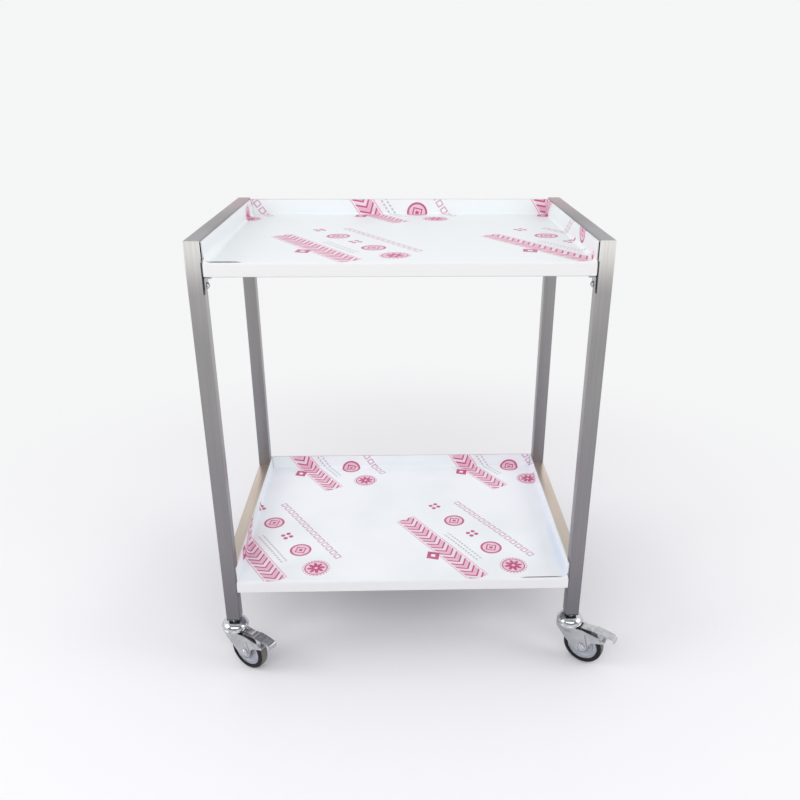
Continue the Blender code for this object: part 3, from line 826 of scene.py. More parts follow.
def eased(points: Sequence[Pair], radius: float, steps: int = 3,
          keep_axis: bool = False) -> list[Pair]:
    """Rounds the corners of a closed outline.

    Args:
        points: Corners of the outline.
        radius: Length that is cut from each side of a corner.
        steps: Faces round a corner.
        keep_axis: Leaves corners with a first number of nought as they are.

    Returns:
        The rounded outline.
    """
    out: list[Pair] = []
    for index, spot in enumerate(points):
        here = Vector(spot)
        if keep_axis and here.x < 1e-9:
            out.append((here.x, here.y))
            continue
        before, after = Vector(points[index - 1]), Vector(points[(index + 1) % len(points)])
        cut = min(radius, 0.45 * (before - here).length, 0.45 * (after - here).length)
        start = here + (before - here).normalized() * cut
        end = here + (after - here).normalized() * cut
        for step in range(steps + 1):
            share = step / steps
            bent = start.lerp(here, share).lerp(here.lerp(end, share), share)
            out.append((bent.x, bent.y))
    return out


def on_curve(value: float, points: Sequence[Pair]) -> float:
    """Height of a bent line at a place.

    Args:
        value: Place along the line's first number.
        points: Points of the line, in rising order of the first number.

    Returns:
        The second number there.
    """
    if value <= points[0][0]:
        return points[0][1]
    for (x0, z0), (x1, z1) in zip(points, points[1:]):
        if value <= x1:
            return z0 + (z1 - z0) * (value - x0) / (x1 - x0)
    return points[-1][1]


def smooth(value: float, low: float, high: float) -> float:
    """Soft step of a plain number from nought at low to one at high."""
    share = min(1.0, max(0.0, (value - low) / (high - low)))
    return share * share * (3 - 2 * share)


def quarter(steps: int) -> list[float]:
    """Angles in radians that divide a quarter turn into steps, with both ends."""
    return [math.radians(90 * step / steps) for step in range(steps + 1)]


def hexagon_reach(half: float, angle: float) -> float:
    """Distance from the middle of a hexagon to its side, at an angle in radians."""
    return half / math.cos((angle + math.pi / 6) % (math.pi / 3) - math.pi / 6)


def new_verts(result: dict[str, list]) -> list[bmesh.types.BMVert]:
    """The vertices among what an extrusion made."""
    return [item for item in result["geom"] if isinstance(item, bmesh.types.BMVert)]


def rounded_square(size: float, corner: float) -> bmesh.types.BMesh:
    """One flat face with round corners, in the plane of X and Y.

    Args:
        size: Width of the square.
        corner: Length that each rounding takes from a side.

    Returns:
        Mesh of the one face.
    """
    bm = bmesh.new()
    bmesh.ops.create_grid(bm, x_segments=1, y_segments=1, size=size / 2)
    bmesh.ops.bevel(bm, geom=bm.verts[:], offset=corner, segments=6, profile=0.5,
                    affect="VERTICES", material=-1)
    return bm


def flat_map(bm: bmesh.types.BMesh, rule: Callable[[Vector], Pair]) -> None:
    """Writes the piece's flat map.

    Args:
        bm: Mesh that gets the map.
        rule: Gives the two map numbers of a vertex, in metres.
    """
    layer = bm.loops.layers.uv.get(UV_NAME) or bm.loops.layers.uv.new(UV_NAME)
    for face in bm.faces:
        for loop in face.loops:
            loop[layer].uv = rule(loop.vert.co)


def paint(bm: bmesh.types.BMesh, name: str, rule: Callable[[Vector], float]) -> None:
    """Writes a number on each vertex.

    Args:
        bm: Mesh that gets the numbers.
        name: Name of the attribute.
        rule: Gives the number from a vertex's place.
    """
    layer = bm.verts.layers.float.new(name)
    for vert in bm.verts:
        vert[layer] = rule(vert.co)


def lathe(profile: Sequence[Pair], steps: int = 64) -> bmesh.types.BMesh:
    """Turns a closed section round Z.

    Args:
        profile: Corners of the section, as radius and height.
        steps: Faces round the turn.

    Returns:
        Closed mesh, with radius and height as its flat map.
    """
    bm = bmesh.new()
    ring = [bm.verts.new((radius, 0.0, height)) for radius, height in profile]
    sides = zip(ring, ring[1:] + ring[:1])
    edges = [bm.edges.new(pair) for pair in sides if pair[0].co.x + pair[1].co.x > 1e-9]
    bmesh.ops.spin(bm, geom=ring + edges, cent=(0, 0, 0), axis=(0, 0, 1), angle=2 * math.pi,
                   steps=steps, use_merge=True)
    bmesh.ops.remove_doubles(bm, verts=bm.verts[:], dist=1e-6)
    bmesh.ops.dissolve_degenerate(bm, edges=bm.edges[:], dist=1e-7)
    bmesh.ops.recalc_face_normals(bm, faces=bm.faces[:])
    flat_map(bm, lambda spot: (math.hypot(spot.x, spot.y), spot.z))
    return bm


def prism(outline: Sequence[Pair], half: float, bevel: float = 0.0) -> bmesh.types.BMesh:
    """Solid of an outline in X and Z, thick along Y.

    Args:
        outline: Corners of the outline.
        half: Half of the thickness.
        bevel: Width of the bevel round both faces.

    Returns:
        Closed mesh.
    """
    bm = bmesh.new()
    face = bm.faces.new([bm.verts.new((x, -half, z)) for x, z in outline])
    out = bmesh.ops.extrude_face_region(bm, geom=[face])
    bmesh.ops.translate(bm, verts=new_verts(out), vec=(0, 2 * half, 0))
    bmesh.ops.recalc_face_normals(bm, faces=bm.faces[:])
    if bevel:
        rims = [e for e in bm.edges if abs(e.verts[0].co.y - e.verts[1].co.y) < 1e-7]
        bmesh.ops.bevel(bm, geom=rims, offset=bevel, segments=2, profile=0.5, affect="EDGES",
                        material=-1, clamp_overlap=True)
    flat_map(bm, lambda spot: (spot.x, spot.z))
    return bm


def hexagon(flats: float, low: float, high: float, bore: float) -> bmesh.types.BMesh:
    """Hexagon nut with chamfered corners, round Z.

    Args:
        flats: Width across the flats.
        low: Lower face.
        high: Upper face.
        bore: Radius of the hole.

    Returns:
        Closed mesh.
    """
    half = flats / 2
    face, rim, chamfer = half * 0.97, half * 1.2, 0.58
    drop = half * 0.155 * chamfer
    bm = lathe([(bore, low), (face, low), (rim, low + drop),
                (rim, high - drop), (face, high), (bore, high)], 48)
    for vert in bm.verts:
        if math.hypot(vert.co.x, vert.co.y) > half * 1.1:
            angle = math.atan2(vert.co.y, vert.co.x)
            reach = hexagon_reach(half, angle)
            slope = (reach - face) * chamfer
            vert.co.z = low + slope if vert.co.z < (low + high) / 2 else high - slope
            vert.co.x, vert.co.y = reach * math.cos(angle), reach * math.sin(angle)
    return bm


def joined(parts: Sequence[bmesh.types.BMesh]) -> bmesh.types.BMesh:
    """One mesh from several, which are freed."""
    whole = bmesh.new()
    for part in parts:
        scrap = bpy.data.meshes.new("scrap")
        part.to_mesh(scrap)
        part.free()
        whole.from_mesh(scrap)
        bpy.data.meshes.remove(scrap)
    return whole


def moved(bm: bmesh.types.BMesh, matrix: Matrix) -> bmesh.types.BMesh:
    """The same mesh after a transform of its vertices."""
    bmesh.ops.transform(bm, matrix=matrix, verts=bm.verts[:])
    return bm


def lattice(columns: Sequence[float],
            rows: Sequence[float]) -> tuple[bmesh.types.BMesh, list[bmesh.types.BMVert]]:
    """Grid whose lines lie at given places.

    Args:
        columns: Places of the lines along X.
        rows: Places of the lines along Y.

    Returns:
        The mesh, and its vertices row by row.
    """
    bm = bmesh.new()
    bmesh.ops.create_grid(bm, x_segments=len(columns) - 1, y_segments=len(rows) - 1, size=1)
    spots = sorted(bm.verts, key=lambda v: (round(v.co.y, 5), round(v.co.x, 5)))
    for index, vert in enumerate(spots):
        vert.co = (columns[index % len(columns)], rows[index // len(columns)], 0.0)
    return bm, spots


@dataclass(frozen=True)
class Stand:
    """What a piece stands for: its CAD node, body and material slot."""

    node: str
    body: str
    slot: Slot


def linked(name: str, data: bpy.types.ID) -> bpy.types.Object:
    """New object in the scene, with the given data."""
    obj = bpy.data.objects.new(name, data)
    bpy.context.scene.collection.objects.link(obj)
    return obj


def add_piece(name: str, bm: bmesh.types.BMesh, finish: Finish, stand: Stand,
              angle: float = 35.0) -> bpy.types.Object:
    """Makes a piece of the trolley.

    Args:
        name: Name of the piece.
        bm: Its mesh in the row frame, which is freed.
        finish: Its surface.
        stand: Node, body and slot that it stands for.
        angle: Edges sharper than this many degrees stay sharp.

    Returns:
        The object.
    """
    mesh = bpy.data.meshes.new(name)
    bm.to_mesh(mesh)
    bm.free()
    mesh.materials.append(finish.material())
    obj = linked(name, mesh)
    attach(obj, stand.body)
    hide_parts(stand.node)
    mesh.shade_smooth()
    mesh.set_sharp_from_angle(angle=math.radians(angle))
    LOG.info("%s: %d faces on %s", name, len(mesh.polygons), stand.body)
    return obj


def settle(obj: bpy.types.Object, angle: float = 35.0) -> None:
    """Applies the object's modifiers and sets its sharp edges again."""
    graph = bpy.context.evaluated_depsgraph_get()
    done = bpy.data.meshes.new_from_object(obj.evaluated_get(graph))
    old = obj.data
    name = old.name
    obj.modifiers.clear()
    obj.data = done
    bpy.data.meshes.remove(old)
    done.name = name
    done.shade_smooth()
    done.set_sharp_from_angle(angle=math.radians(angle))


def thicken(obj: bpy.types.Object, thickness: float, offset: float) -> None:
    """Gives a sheet its thickness, outwards for an offset of one and inwards for minus one."""
    mod = obj.modifiers.new("sheet", "SOLIDIFY")
    mod.thickness = thickness
    mod.offset = offset
    mod.use_even_offset = True


def break_edges(obj: bpy.types.Object, width: float, segments: int = 2,
                angle: float = 50.0) -> None:
    """Rounds the edges that are sharper than an angle."""
    mod = obj.modifiers.new("edges", "BEVEL")
    mod.width = width
    mod.segments = segments
    mod.limit_method = "ANGLE"
    mod.angle_limit = math.radians(angle)


# Frame


@dataclass
class SideFrames:
    """Four legs and four rails of square stainless tube."""

    width: float = 0.650
    depth: float = 0.450
    height: float = 0.790
    leg_end: float = 0.1000
    rail_low_top: float = 0.201
    tube: float = 0.025
    wall: float = 0.0012
    corner: float = 0.0022
    seam: float = 0.0001

    def tube_form(self, length: float, low_mitre: bool, high_mitre: bool) -> bmesh.types.BMesh:
        """Square tube along Z with round corners.

        Args:
            length: Length along the longest face, which looks to -Y.
            low_mitre: Whether the lower end is cut at 45 degrees.
            high_mitre: Whether the upper end is cut at 45 degrees.

        Returns:
            Closed mesh.
        """
        bm = rounded_square(self.tube, self.corner)
        core = bm.faces[:]
        bmesh.ops.inset_region(bm, faces=core, thickness=self.wall, use_boundary=True,
                               use_even_offset=True)
        bmesh.ops.delete(bm, geom=core, context="FACES")
        out = bmesh.ops.extrude_face_region(bm, geom=bm.faces[:])
        bmesh.ops.translate(bm, verts=new_verts(out), vec=(0, 0, length))
        for vert in bm.verts:
            slant = vert.co.y + self.tube / 2
            if high_mitre and vert.co.z > length / 2:
                vert.co.z -= slant
            elif low_mitre and vert.co.z < length / 2:
                vert.co.z += slant
        bmesh.ops.recalc_face_normals(bm, faces=bm.faces[:])
        flat_map(bm, lambda spot: (spot.x, spot.z))
        return bm

    def leg_spot(self, corner: Corner) -> Pair:
        """X and Y of a leg's centre line."""
        x = corner.side * (self.width - self.tube) / 2
        y = (self.depth - self.tube) / 2
        return (x, -y if corner.in_front else y)

    def build(self) -> None:
        """Builds and dresses the legs and rails."""
        for corner in Corner:
            x, y = self.leg_spot(corner)
            turn = 0.0 if corner.in_front else math.pi
            place = Matrix.Translation((x, y, self.leg_end)) @ Matrix.Rotation(turn, 4, "Z")
            form = moved(self.tube_form(self.height - self.leg_end - self.seam, False, True), place)
            stand = Stand("leg_" + corner.value, "frame", Slot.STAINLESS)
            add_piece("leg_tube_" + corner.value, form, LEG_STEEL, stand)
        lay = Matrix.Rotation(-math.pi / 2, 4, "X")
        x = (self.width - self.tube) / 2
        short = self.depth - 2 * self.tube - 2 * self.seam
        rails = (("top", self.depth, self.height, True, TOP_RAIL_STEEL),
                 ("low", short, self.rail_low_top, False, LOW_RAIL_STEEL))
        for letter, side in (("l", -1), ("r", 1)):
            for level, length, top, mitred, steel in rails:
                spot = (side * x, -length / 2, top - self.tube / 2)
                form = moved(self.tube_form(length, mitred, mitred), Matrix.Translation(spot) @ lay)
                stand = Stand(f"rail_{level}_{letter}", "frame", Slot.STAINLESS)
                add_piece(f"{level}_rail_tube_{letter}", form, steel, stand)


# Trays


@dataclass
class Tray:
    """One folded tray: floor, three upstands, a front apron and its hem."""

    node: str
    floor_z: float
    gap: float
    inner_x: float = 0.300
    depth: float = 0.450
    sheet: float = 0.0012
    rim_rise: float = 0.030
    apron_drop: float = 0.022
    hem: float = 0.006
    fold: float = 0.0015
    relief: float = 0.0045
    notch: float = 0.0032
    apron_gap: float = 0.0002

    def blank(self) -> bmesh.types.BMesh:
        """Floor of the tray, notched at the two front corners."""
        half = self.inner_x - self.gap
        bm = bmesh.new()
        grid = bmesh.ops.create_grid(bm, x_segments=1, y_segments=1, size=0.5)
        for vert in grid["verts"]:
            vert.co.x *= 2 * half
            vert.co.y = -self.depth / 2 + self.sheet if vert.co.y < 0 else self.depth / 2
            vert.co.z = self.floor_z - self.sheet
        notch = -self.depth / 2 + self.notch
        cuts = [((x, 0, 0), (1, 0, 0)) for x in (self.relief - half, half - self.relief)]
        for point, normal in cuts + [((0, notch, 0), (0, 1, 0))]:
            geom = bm.verts[:] + bm.edges[:] + bm.faces[:]
            bmesh.ops.bisect_plane(bm, geom=geom, plane_co=point, plane_no=normal)
        corners = []
        for face in bm.faces:
            spot = face.calc_center_median()
            if abs(spot.x) > half - self.relief and spot.y < notch:
                corners.append(face)
        bmesh.ops.delete(bm, geom=corners, context="FACES")
        return bm

    @staticmethod
    def pull(bm: bmesh.types.BMesh, edges: list[bmesh.types.BMEdge], dy: float,
             dz: float) -> list[bmesh.types.BMEdge]:
        """Extrudes edges.

        Args:
            bm: Mesh of the sheet.
            edges: Edges to extrude.
            dy: Way along Y.
            dz: Way along Z.

        Returns:
            The new edges.
        """
        out = bmesh.ops.extrude_edge_only(bm, edges=edges)
        for vert in new_verts(out):
            vert.co.y += dy
            vert.co.z += dz
        return [item for item in out["geom"] if isinstance(item, bmesh.types.BMEdge)]

    @staticmethod
    def lies(edge: bmesh.types.BMEdge, axis: int, place: float) -> bool:
        """Whether both ends of an edge lie at a place on an axis, at either side for X."""
        near = 1e-5
        if axis == 0:
            return all(abs(abs(v.co.x) - place) < near for v in edge.verts)
        return all(abs(v.co[axis] - place) < near for v in edge.verts)

    def folded(self) -> bmesh.types.BMesh:
        """The folded sheet, still without its thickness."""
        half, back = self.inner_x - self.gap, self.depth / 2
        front, floor = -self.depth / 2 + self.sheet, self.floor_z - self.sheet
        drop = self.floor_z - self.apron_drop + self.sheet
        bm = self.blank()
        walls = [e for e in bm.edges
                 if e.is_boundary and (self.lies(e, 0, half) or self.lies(e, 1, back))]
        self.pull(bm, walls, 0, self.floor_z + self.rim_rise - floor)
        lip = [e for e in bm.edges if self.lies(e, 1, front) and self.lies(e, 2, floor)]
        apron = self.pull(bm, lip, 0, drop - floor)
        self.pull(bm, [e for e in apron if self.lies(e, 2, drop)], self.hem, 0)
        folds = []
        for edge in bm.edges:
            if len(edge.link_faces) != 2:
                continue
            at_floor = self.lies(edge, 2, floor)
            at_side, at_back = self.lies(edge, 0, half), self.lies(edge, 1, back)
            if (at_floor and (at_side or at_back)) or (at_side and at_back):
                folds.append(edge)
        self.soften(bm, folds, self.fold + self.sheet)
        folds = [e for e in bm.edges if len(e.link_faces) == 2 and self.lies(e, 1, front)
                 and (self.lies(e, 2, floor) or self.lies(e, 2, drop))]
        self.soften(bm, folds, self.fold)
        self.widen_apron(bm)
        bmesh.ops.recalc_face_normals(bm, faces=bm.faces[:])
        if max(bm.faces, key=lambda f: f.calc_area()).normal.z < 0:
            bmesh.ops.reverse_faces(bm, faces=bm.faces[:])
        flat_map(bm, lambda spot: (spot.x, spot.y))
        return bm

    def widen_apron(self, bm: bmesh.types.BMesh) -> None:
        """Carries the apron's ends out below the corner notches, almost to the legs."""
        end, floor = self.inner_x - self.gap - self.relief, self.floor_z - self.sheet
        bend = -self.depth / 2 + self.sheet + self.fold
        ends = [e for e in bm.edges if e.is_boundary and self.lies(e, 0, end)
                and min(v.co.z for v in e.verts) < floor - HAIR
                and min(v.co.y for v in e.verts) < bend - HAIR]
        for vert in new_verts(bmesh.ops.extrude_edge_only(bm, edges=ends)):
            vert.co.x += math.copysign(self.relief - self.apron_gap, vert.co.x)

    @staticmethod
    def soften(bm: bmesh.types.BMesh, edges: list[bmesh.types.BMEdge], radius: float) -> None:
        """Rounds folds."""
        bmesh.ops.bevel(bm, geom=edges, offset=radius, segments=6, profile=0.5, affect="EDGES",
                        material=-1, clamp_overlap=False)

    def build(self) -> None:
        """Builds and dresses the tray."""
        stand = Stand(self.node, "frame", Slot.STAINLESS)
        obj = add_piece(self.node + "_sheet", self.folded(), TRAY_STEEL, stand)
        thicken(obj, self.sheet, 1.0)
        settle(obj)


# Protective film


@dataclass
class TrayFilm:
    """Thin printed film that lies on a tray's upper side and over its apron."""

    node: str
    floor_z: float
    gap: float
    print_centre: Pair
    slack: tuple[Pair, ...]
    slit: Pair
    seed: float
    apron_shade_tone: str
    ground_tone: str
    bridge_light_and_shade_tone: str
    print_pitch: float
    inner_x: float = 0.300
    depth: float = 0.450
    tray_sheet: float = 0.0012
    clearance: float = 0.0002
    film: float = 0.00015
    rim_rise: float = 0.030
    short: float = 0.001
    apron_drop: float = 0.022
    tight: float = 0.0014
    front_fold: float = 0.0029
    wide: float = 0.017
    slit_start: float = 0.0004
    slit_end: float = 0.0012
    slit_lift: float = 0.0014
    reach: float = 0.0031
    overhang: float = 0.0
    under_rim: float = 0.0006
    back_gap: float = 0.0008
    bubble: float = 0.0009

    @property
    def half(self) -> float:
        """Half of the film's width between the side walls."""
        return self.inner_x - self.gap - self.tray_sheet - self.clearance

    @property
    def front(self) -> float:
        """Plane of the front flap."""
        return -self.depth / 2 - self.clearance

    @property
    def back(self) -> float:
        """Plane of the back flap."""
        return self.depth / 2 - self.tray_sheet - self.clearance

    def columns(self) -> list[float]:
        """Lines across the flat film: dense in the side folds."""
        start = self.half - self.wide
        end = self.half + self.rim_rise - self.short - self.clearance
        inner = [start * k / 58 for k in range(58)]
        bent = self.wide * 1.6
        fold = [start + bent * k / 34 for k in range(34)]
        flap = [start + bent + (end - start - bent) * k / 8 for k in range(9)]
        if self.overhang:
            flap += [end + (0.0100 + self.overhang) * k / 24 for k in range(1, 25)]
        right = inner + fold + flap
        return [-u for u in reversed(right[1:])] + right

    def rows(self) -> list[float]:
        """Lines along the flat film: dense in the front and back folds."""
        fold = self.front_fold
        lip = self.front + fold
        arc = fold * math.pi / 2
        flap = self.apron_drop - self.short - fold
        front = [lip - arc - flap * (1 - k / 6) for k in range(6)]
        front += [lip - arc * (1 - k / 8) for k in range(8)]
        edge = self.back - self.tight
        floor = [lip, lip + self.slit_start, lip + self.slit_end, lip + 0.0026]
        floor += [lip + (edge - lip) * k / 86 for k in range(1, 86)]
        bend = self.tight * math.pi / 2
        rise = self.rim_rise - self.short - self.clearance - self.tight
        back = [edge + bend * k / 6 for k in range(6)]
        return front + floor + back + [edge + bend + rise * k / 8 for k in range(9)]

    def fold_radius(self, side: int, deep: float) -> float:
        """Radius in which the film bridges a side fold at a depth.

        Args:
            side: Minus one on the left, plus one on the right.
            deep: Place along Y.

        Returns:
            The radius.
        """
        bridge = dict(self.slack).get(float(side), 0.0)
        lifted = smooth(deep, 0.06, -0.20)
        lifted *= 1 - 0.55 * smooth(deep, self.front + 0.045, self.front + 0.004)
        waver = noise.noise(Vector((deep * 21, side * 3.1, self.seed)))
        radius = self.tight + max(0.0, bridge * (0.35 + 0.65 * lifted) * (1 + 0.35 * waver))
        return min(radius, self.wide * 0.98)

    def shape(self, wide: float, deep: float) -> Vector:
        """Place of a point of the flat film on the tray.

        Args:
            wide: Flat place across.
            deep: Flat place along.

        Returns:
            The point in the row frame.
        """
        side = -1 if wide < 0 else 1
        floor = self.floor_z + self.clearance
        y, z = deep, 0.0
        lip = self.front + self.front_fold
        edge = self.back - self.tight
        if deep < lip:
            turn = min((lip - deep) / self.front_fold, math.pi / 2)
            y = lip - self.front_fold * math.sin(turn)
            straight = max(0.0, lip - deep - self.front_fold * math.pi / 2)
            z = -self.front_fold * (1 - math.cos(turn)) - straight
        elif deep > edge + HAIR:
            turn = min((deep - edge) / self.tight, math.pi / 2)
            y = edge + self.tight * math.sin(turn)
            z = self.tight * (1 - math.cos(turn)) + max(0.0, deep - edge - self.tight * math.pi / 2)
            reach = (self.half - self.back_gap) / (self.half - self.tight)
            return Vector((wide * (1 + (reach - 1) * smooth(z, 0.0, 0.004)), y, floor + z))
        radius = self.fold_radius(side, y)
        start = self.half - radius
        past = abs(wide) - start
        x = wide
        if past > 0:
            turn = min(past / radius, math.pi / 2)
            rise = radius * (1 - math.cos(turn)) + max(0.0, past - radius * math.pi / 2)
            rim = self.rim_rise + (self.film if self.overhang else -self.under_rim)
            over = min(max(0.0, rise - rim), self.overhang)
            folded = smooth(deep, lip - 0.006, lip)
            x += (side * (start + radius * math.sin(turn) + over) - x) * folded
            z += min(rise, rim) * folded
        return Vector((x, y, floor + z + self.pucker(wide, deep) + self.lift(wide, deep)))

    def looseness(self, wide: float, deep: float) -> float:
        """How far the film stands off the steel at a place, from nought to one; it masks the painted
        light and shade on the bridged film.
        """
        if deep > self.back - self.tight or deep < self.front + self.front_fold:
            return 0.0
        radius = self.fold_radius(-1 if wide < 0 else 1, deep)
        turn = (abs(wide) - self.half + radius) / (radius * math.pi / 2)
        if not 0.0 < turn < 1.0:
            return 0.0
        return min(1.0, (radius - self.tight) / 0.012) * math.sin(turn * math.pi)

    def lift(self, wide: float, deep: float) -> float:
        """Height by which the film stands off behind its slit."""
        behind = deep - self.front - self.front_fold - self.slit_end
        if behind < -HAIR:
            return 0.0
        inside = smooth(wide, self.slit[0] - 0.004, self.slit[0] + 0.012)
        inside *= 1 - smooth(wide, self.slit[1] - 0.012, self.slit[1] + 0.004)
        return self.slit_lift * inside * math.exp(-behind / 0.009)

    def pucker(self, wide: float, deep: float) -> float:
        """Height of the small bubbles where the film hasn't stuck."""
        swell = noise.noise(Vector((wide * 5 + self.seed, deep * 8, self.seed)))
        inside = smooth(self.half - abs(wide), 0.002, 0.030)
        inside *= smooth(deep, self.front + 0.004, self.front + 0.03)
        inside *= smooth(self.back - deep, 0.002, 0.030)
        return inside * self.bubble * smooth(swell, 0.0, 0.5)

    def keeps(self, wide: float, deep: float) -> bool:
        """Whether the flat film has material at a place."""
        notch = -self.depth / 2 + 0.0032
        if deep < self.front + self.front_fold:
            return abs(wide) < self.half + self.tray_sheet
        if deep < notch:
            return abs(wide) < self.half - self.reach
        if deep > self.back - self.tight:
            return abs(wide) < self.half - self.tight
        lip = self.front + self.front_fold
        if lip + self.slit_start < deep < lip + self.slit_end:
            return not self.slit[0] < wide < self.slit[1]
        return True

    def build(self) -> None:
        """Builds and dresses the film."""
        bm, _ = lattice(self.columns(), self.rows())
        lost = [f for f in bm.faces if not self.keeps(*f.calc_center_median().xy)]
        bmesh.ops.delete(bm, geom=lost, context="FACES")
        flat_map(bm, lambda spot: (spot.x, spot.y))
        paint(bm, BRIDGE_LIGHT_AND_SHADE, lambda spot: self.looseness(spot.x, spot.y))
        for vert in bm.verts:
            vert.co = self.shape(vert.co.x, vert.co.y)
        if max(bm.faces, key=lambda f: f.calc_area()).normal.z < 0:
            bmesh.ops.reverse_faces(bm, faces=bm.faces[:])
        finish = PrintedFilm("printed_" + self.node, self.print_centre,
                             self.front + self.front_fold, self.apron_shade_tone, self.ground_tone,
                             self.bridge_light_and_shade_tone, self.print_pitch)
        stand = Stand(self.node, "frame", Slot.FILM)
        obj = add_piece(self.node + "_skin", bm, finish, stand, 60)
        thicken(obj, self.film, 1.0)
        settle(obj, 60)


# Fittings of the frame


@dataclass
class TrayLugs:
    """Angle lugs that carry the top tray, with their dome-headed screws."""

    floor_z: float = TOP_FLOOR
    inner_x: float = 0.300
    depth: float = 0.450
    setback: float = 0.0032
    sheet: float = 0.0025
    height: float = 0.020
    reach: float = 0.011
    width: float = 0.018
    screw_drop: float = 0.0145
    screw_r: float = 0.0025
    head_r: float = 0.0050
    head_h: float = 0.0034
    socket_r: float = 0.0016
    apron_drop: float = 0.022
    tray_sheet: float = 0.0012
    gap: float = 0.0003
    bend: float = 0.0012

    def top(self, corner: Corner) -> float:
        """Height of a lug's seat: under the hem in front, under the floor behind."""
        seat = self.floor_z - (self.apron_drop if corner.in_front else self.tray_sheet)
        return seat - self.gap

    def lug(self) -> bmesh.types.BMesh:
        """Bent angle with a round bend, its corner at the origin."""
        outside = self.bend + self.sheet
        inner = [(self.sheet + self.bend * (1 - math.sin(turn)),
                  -self.sheet - self.bend * (1 - math.cos(turn))) for turn in quarter(6)]
        outer = [(outside * (1 - math.cos(turn)), -outside * (1 - math.sin(turn)))
                 for turn in quarter(6)]
        outline = [(self.reach, 0), (self.reach, -self.sheet)] + inner
        outline += [(self.sheet, -self.height), (0, -self.height)] + outer
        return prism(outline, self.width / 2, 0.0004)

    def screw(self) -> bmesh.types.BMesh:
        """Dome-headed screw round Z with a six-sided socket; its head stands on -Z."""
        gap, tall, head, rim = self.gap, self.head_h, self.head_r, 0.0006
        face = -gap - tall
        profile = [(0.0, 0.0046), (0.0020, 0.0046), (self.screw_r, 0.0040), (self.screw_r, -gap),
                   (head * 0.97, -gap), (head, -gap - rim / 2)]
        for turn in quarter(8)[1:-1]:
            drop = (tall - rim) * math.sin(turn)
            profile.append((head * math.cos(turn * 0.86), -gap - rim - drop))
        profile += [(self.socket_r, face), (self.socket_r, face + 0.0016), (0.0, face + 0.0018)]
        bm = lathe(profile, 48)
        for vert in bm.verts:
            radius = math.hypot(vert.co.x, vert.co.y)
            if abs(radius - self.socket_r) < 1e-5:
                angle = math.atan2(vert.co.y, vert.co.x)
                reach = hexagon_reach(self.socket_r * 0.9, angle)
                vert.co.x, vert.co.y = reach * math.cos(angle), reach * math.sin(angle)
        return bm

    def build(self) -> None:
        """Builds and dresses lugs and screws."""
        for corner in Corner:
            side = corner.side
            y = self.depth / 2 - self.setback - self.width / 2
            y = -y if corner.in_front else y
            spot = (side * (self.inner_x - self.gap), y, self.top(corner))
            turn = Matrix.Rotation(math.pi if side > 0 else 0.0, 4, "Z")
            form = moved(self.lug(), Matrix.Translation(spot) @ turn)
            stand = Stand("lug_" + corner.value, "frame", Slot.STAINLESS)
            add_piece("lug_angle_" + corner.value, form, FITTING_STEEL, stand)
            face = Matrix.Translation((side * (self.inner_x - self.gap - self.sheet), y,
                                       self.top(corner) - self.screw_drop))
            form = moved(self.screw(), face @ Matrix.Rotation(side * math.pi / 2, 4, "Y"))
            stand = Stand("screw_" + corner.value, "frame", Slot.CHROME)
            add_piece("lug_screw_" + corner.value, form, CHROME, stand)


@dataclass
class LegPlugs:
    """Plastic plugs in the open leg ends."""

    end_z: float = 0.0977
    size: float = 0.025
    corner: float = 0.0022
    flange: float = 0.0020
    inset: float = 0.0015
    sleeve: float = 0.022
    rim: float = 0.0005

    def build(self, frames: SideFrames) -> None:
        """Builds and dresses the plugs.

        Args:
            frames: Side frames that say where the legs stand.
        """
        for corner in Corner:
            bm = rounded_square(self.size, self.corner)
            top = self.rise(bm, bm.faces[:], self.flange)
            bmesh.ops.inset_region(bm, faces=top, thickness=self.inset, use_even_offset=True)
            top = self.rise(bm, top, self.sleeve)
            inner = [f for f in bm.faces if all(len(e.link_faces) > 2 for e in f.edges)]
            bmesh.ops.delete(bm, geom=inner, context="FACES")
            bmesh.ops.recalc_face_normals(bm, faces=bm.faces[:])
            rims = [e for e in bm.edges if all(abs(v.co.z) < HAIR for v in e.verts)]
            bmesh.ops.bevel(bm, geom=rims, offset=self.rim, segments=3, profile=0.5,
                            affect="EDGES", material=-1)
            flat_map(bm, lambda spot: (spot.x, spot.y))
            x, y = frames.leg_spot(corner)
            form = moved(bm, Matrix.Translation((x, y, self.end_z)))
            stand = Stand("plug_" + corner.value, "frame", Slot.PLUG)
            add_piece("leg_plug_" + corner.value, form, PLUG_PLASTIC, stand)

    @staticmethod
    def rise(bm: bmesh.types.BMesh, faces: list[bmesh.types.BMFace],
             height: float) -> list[bmesh.types.BMFace]:
        """Extrudes faces along Z.

        Args:
            bm: Mesh of the plug.
            faces: Faces to extrude.
            height: Way along Z.

        Returns:
            The new top faces.
        """
        out = bmesh.ops.extrude_face_region(bm, geom=faces)
        bmesh.ops.translate(bm, verts=new_verts(out), vec=(0, 0, height))
        return [item for item in out["geom"] if isinstance(item, bmesh.types.BMFace)]


# Casters


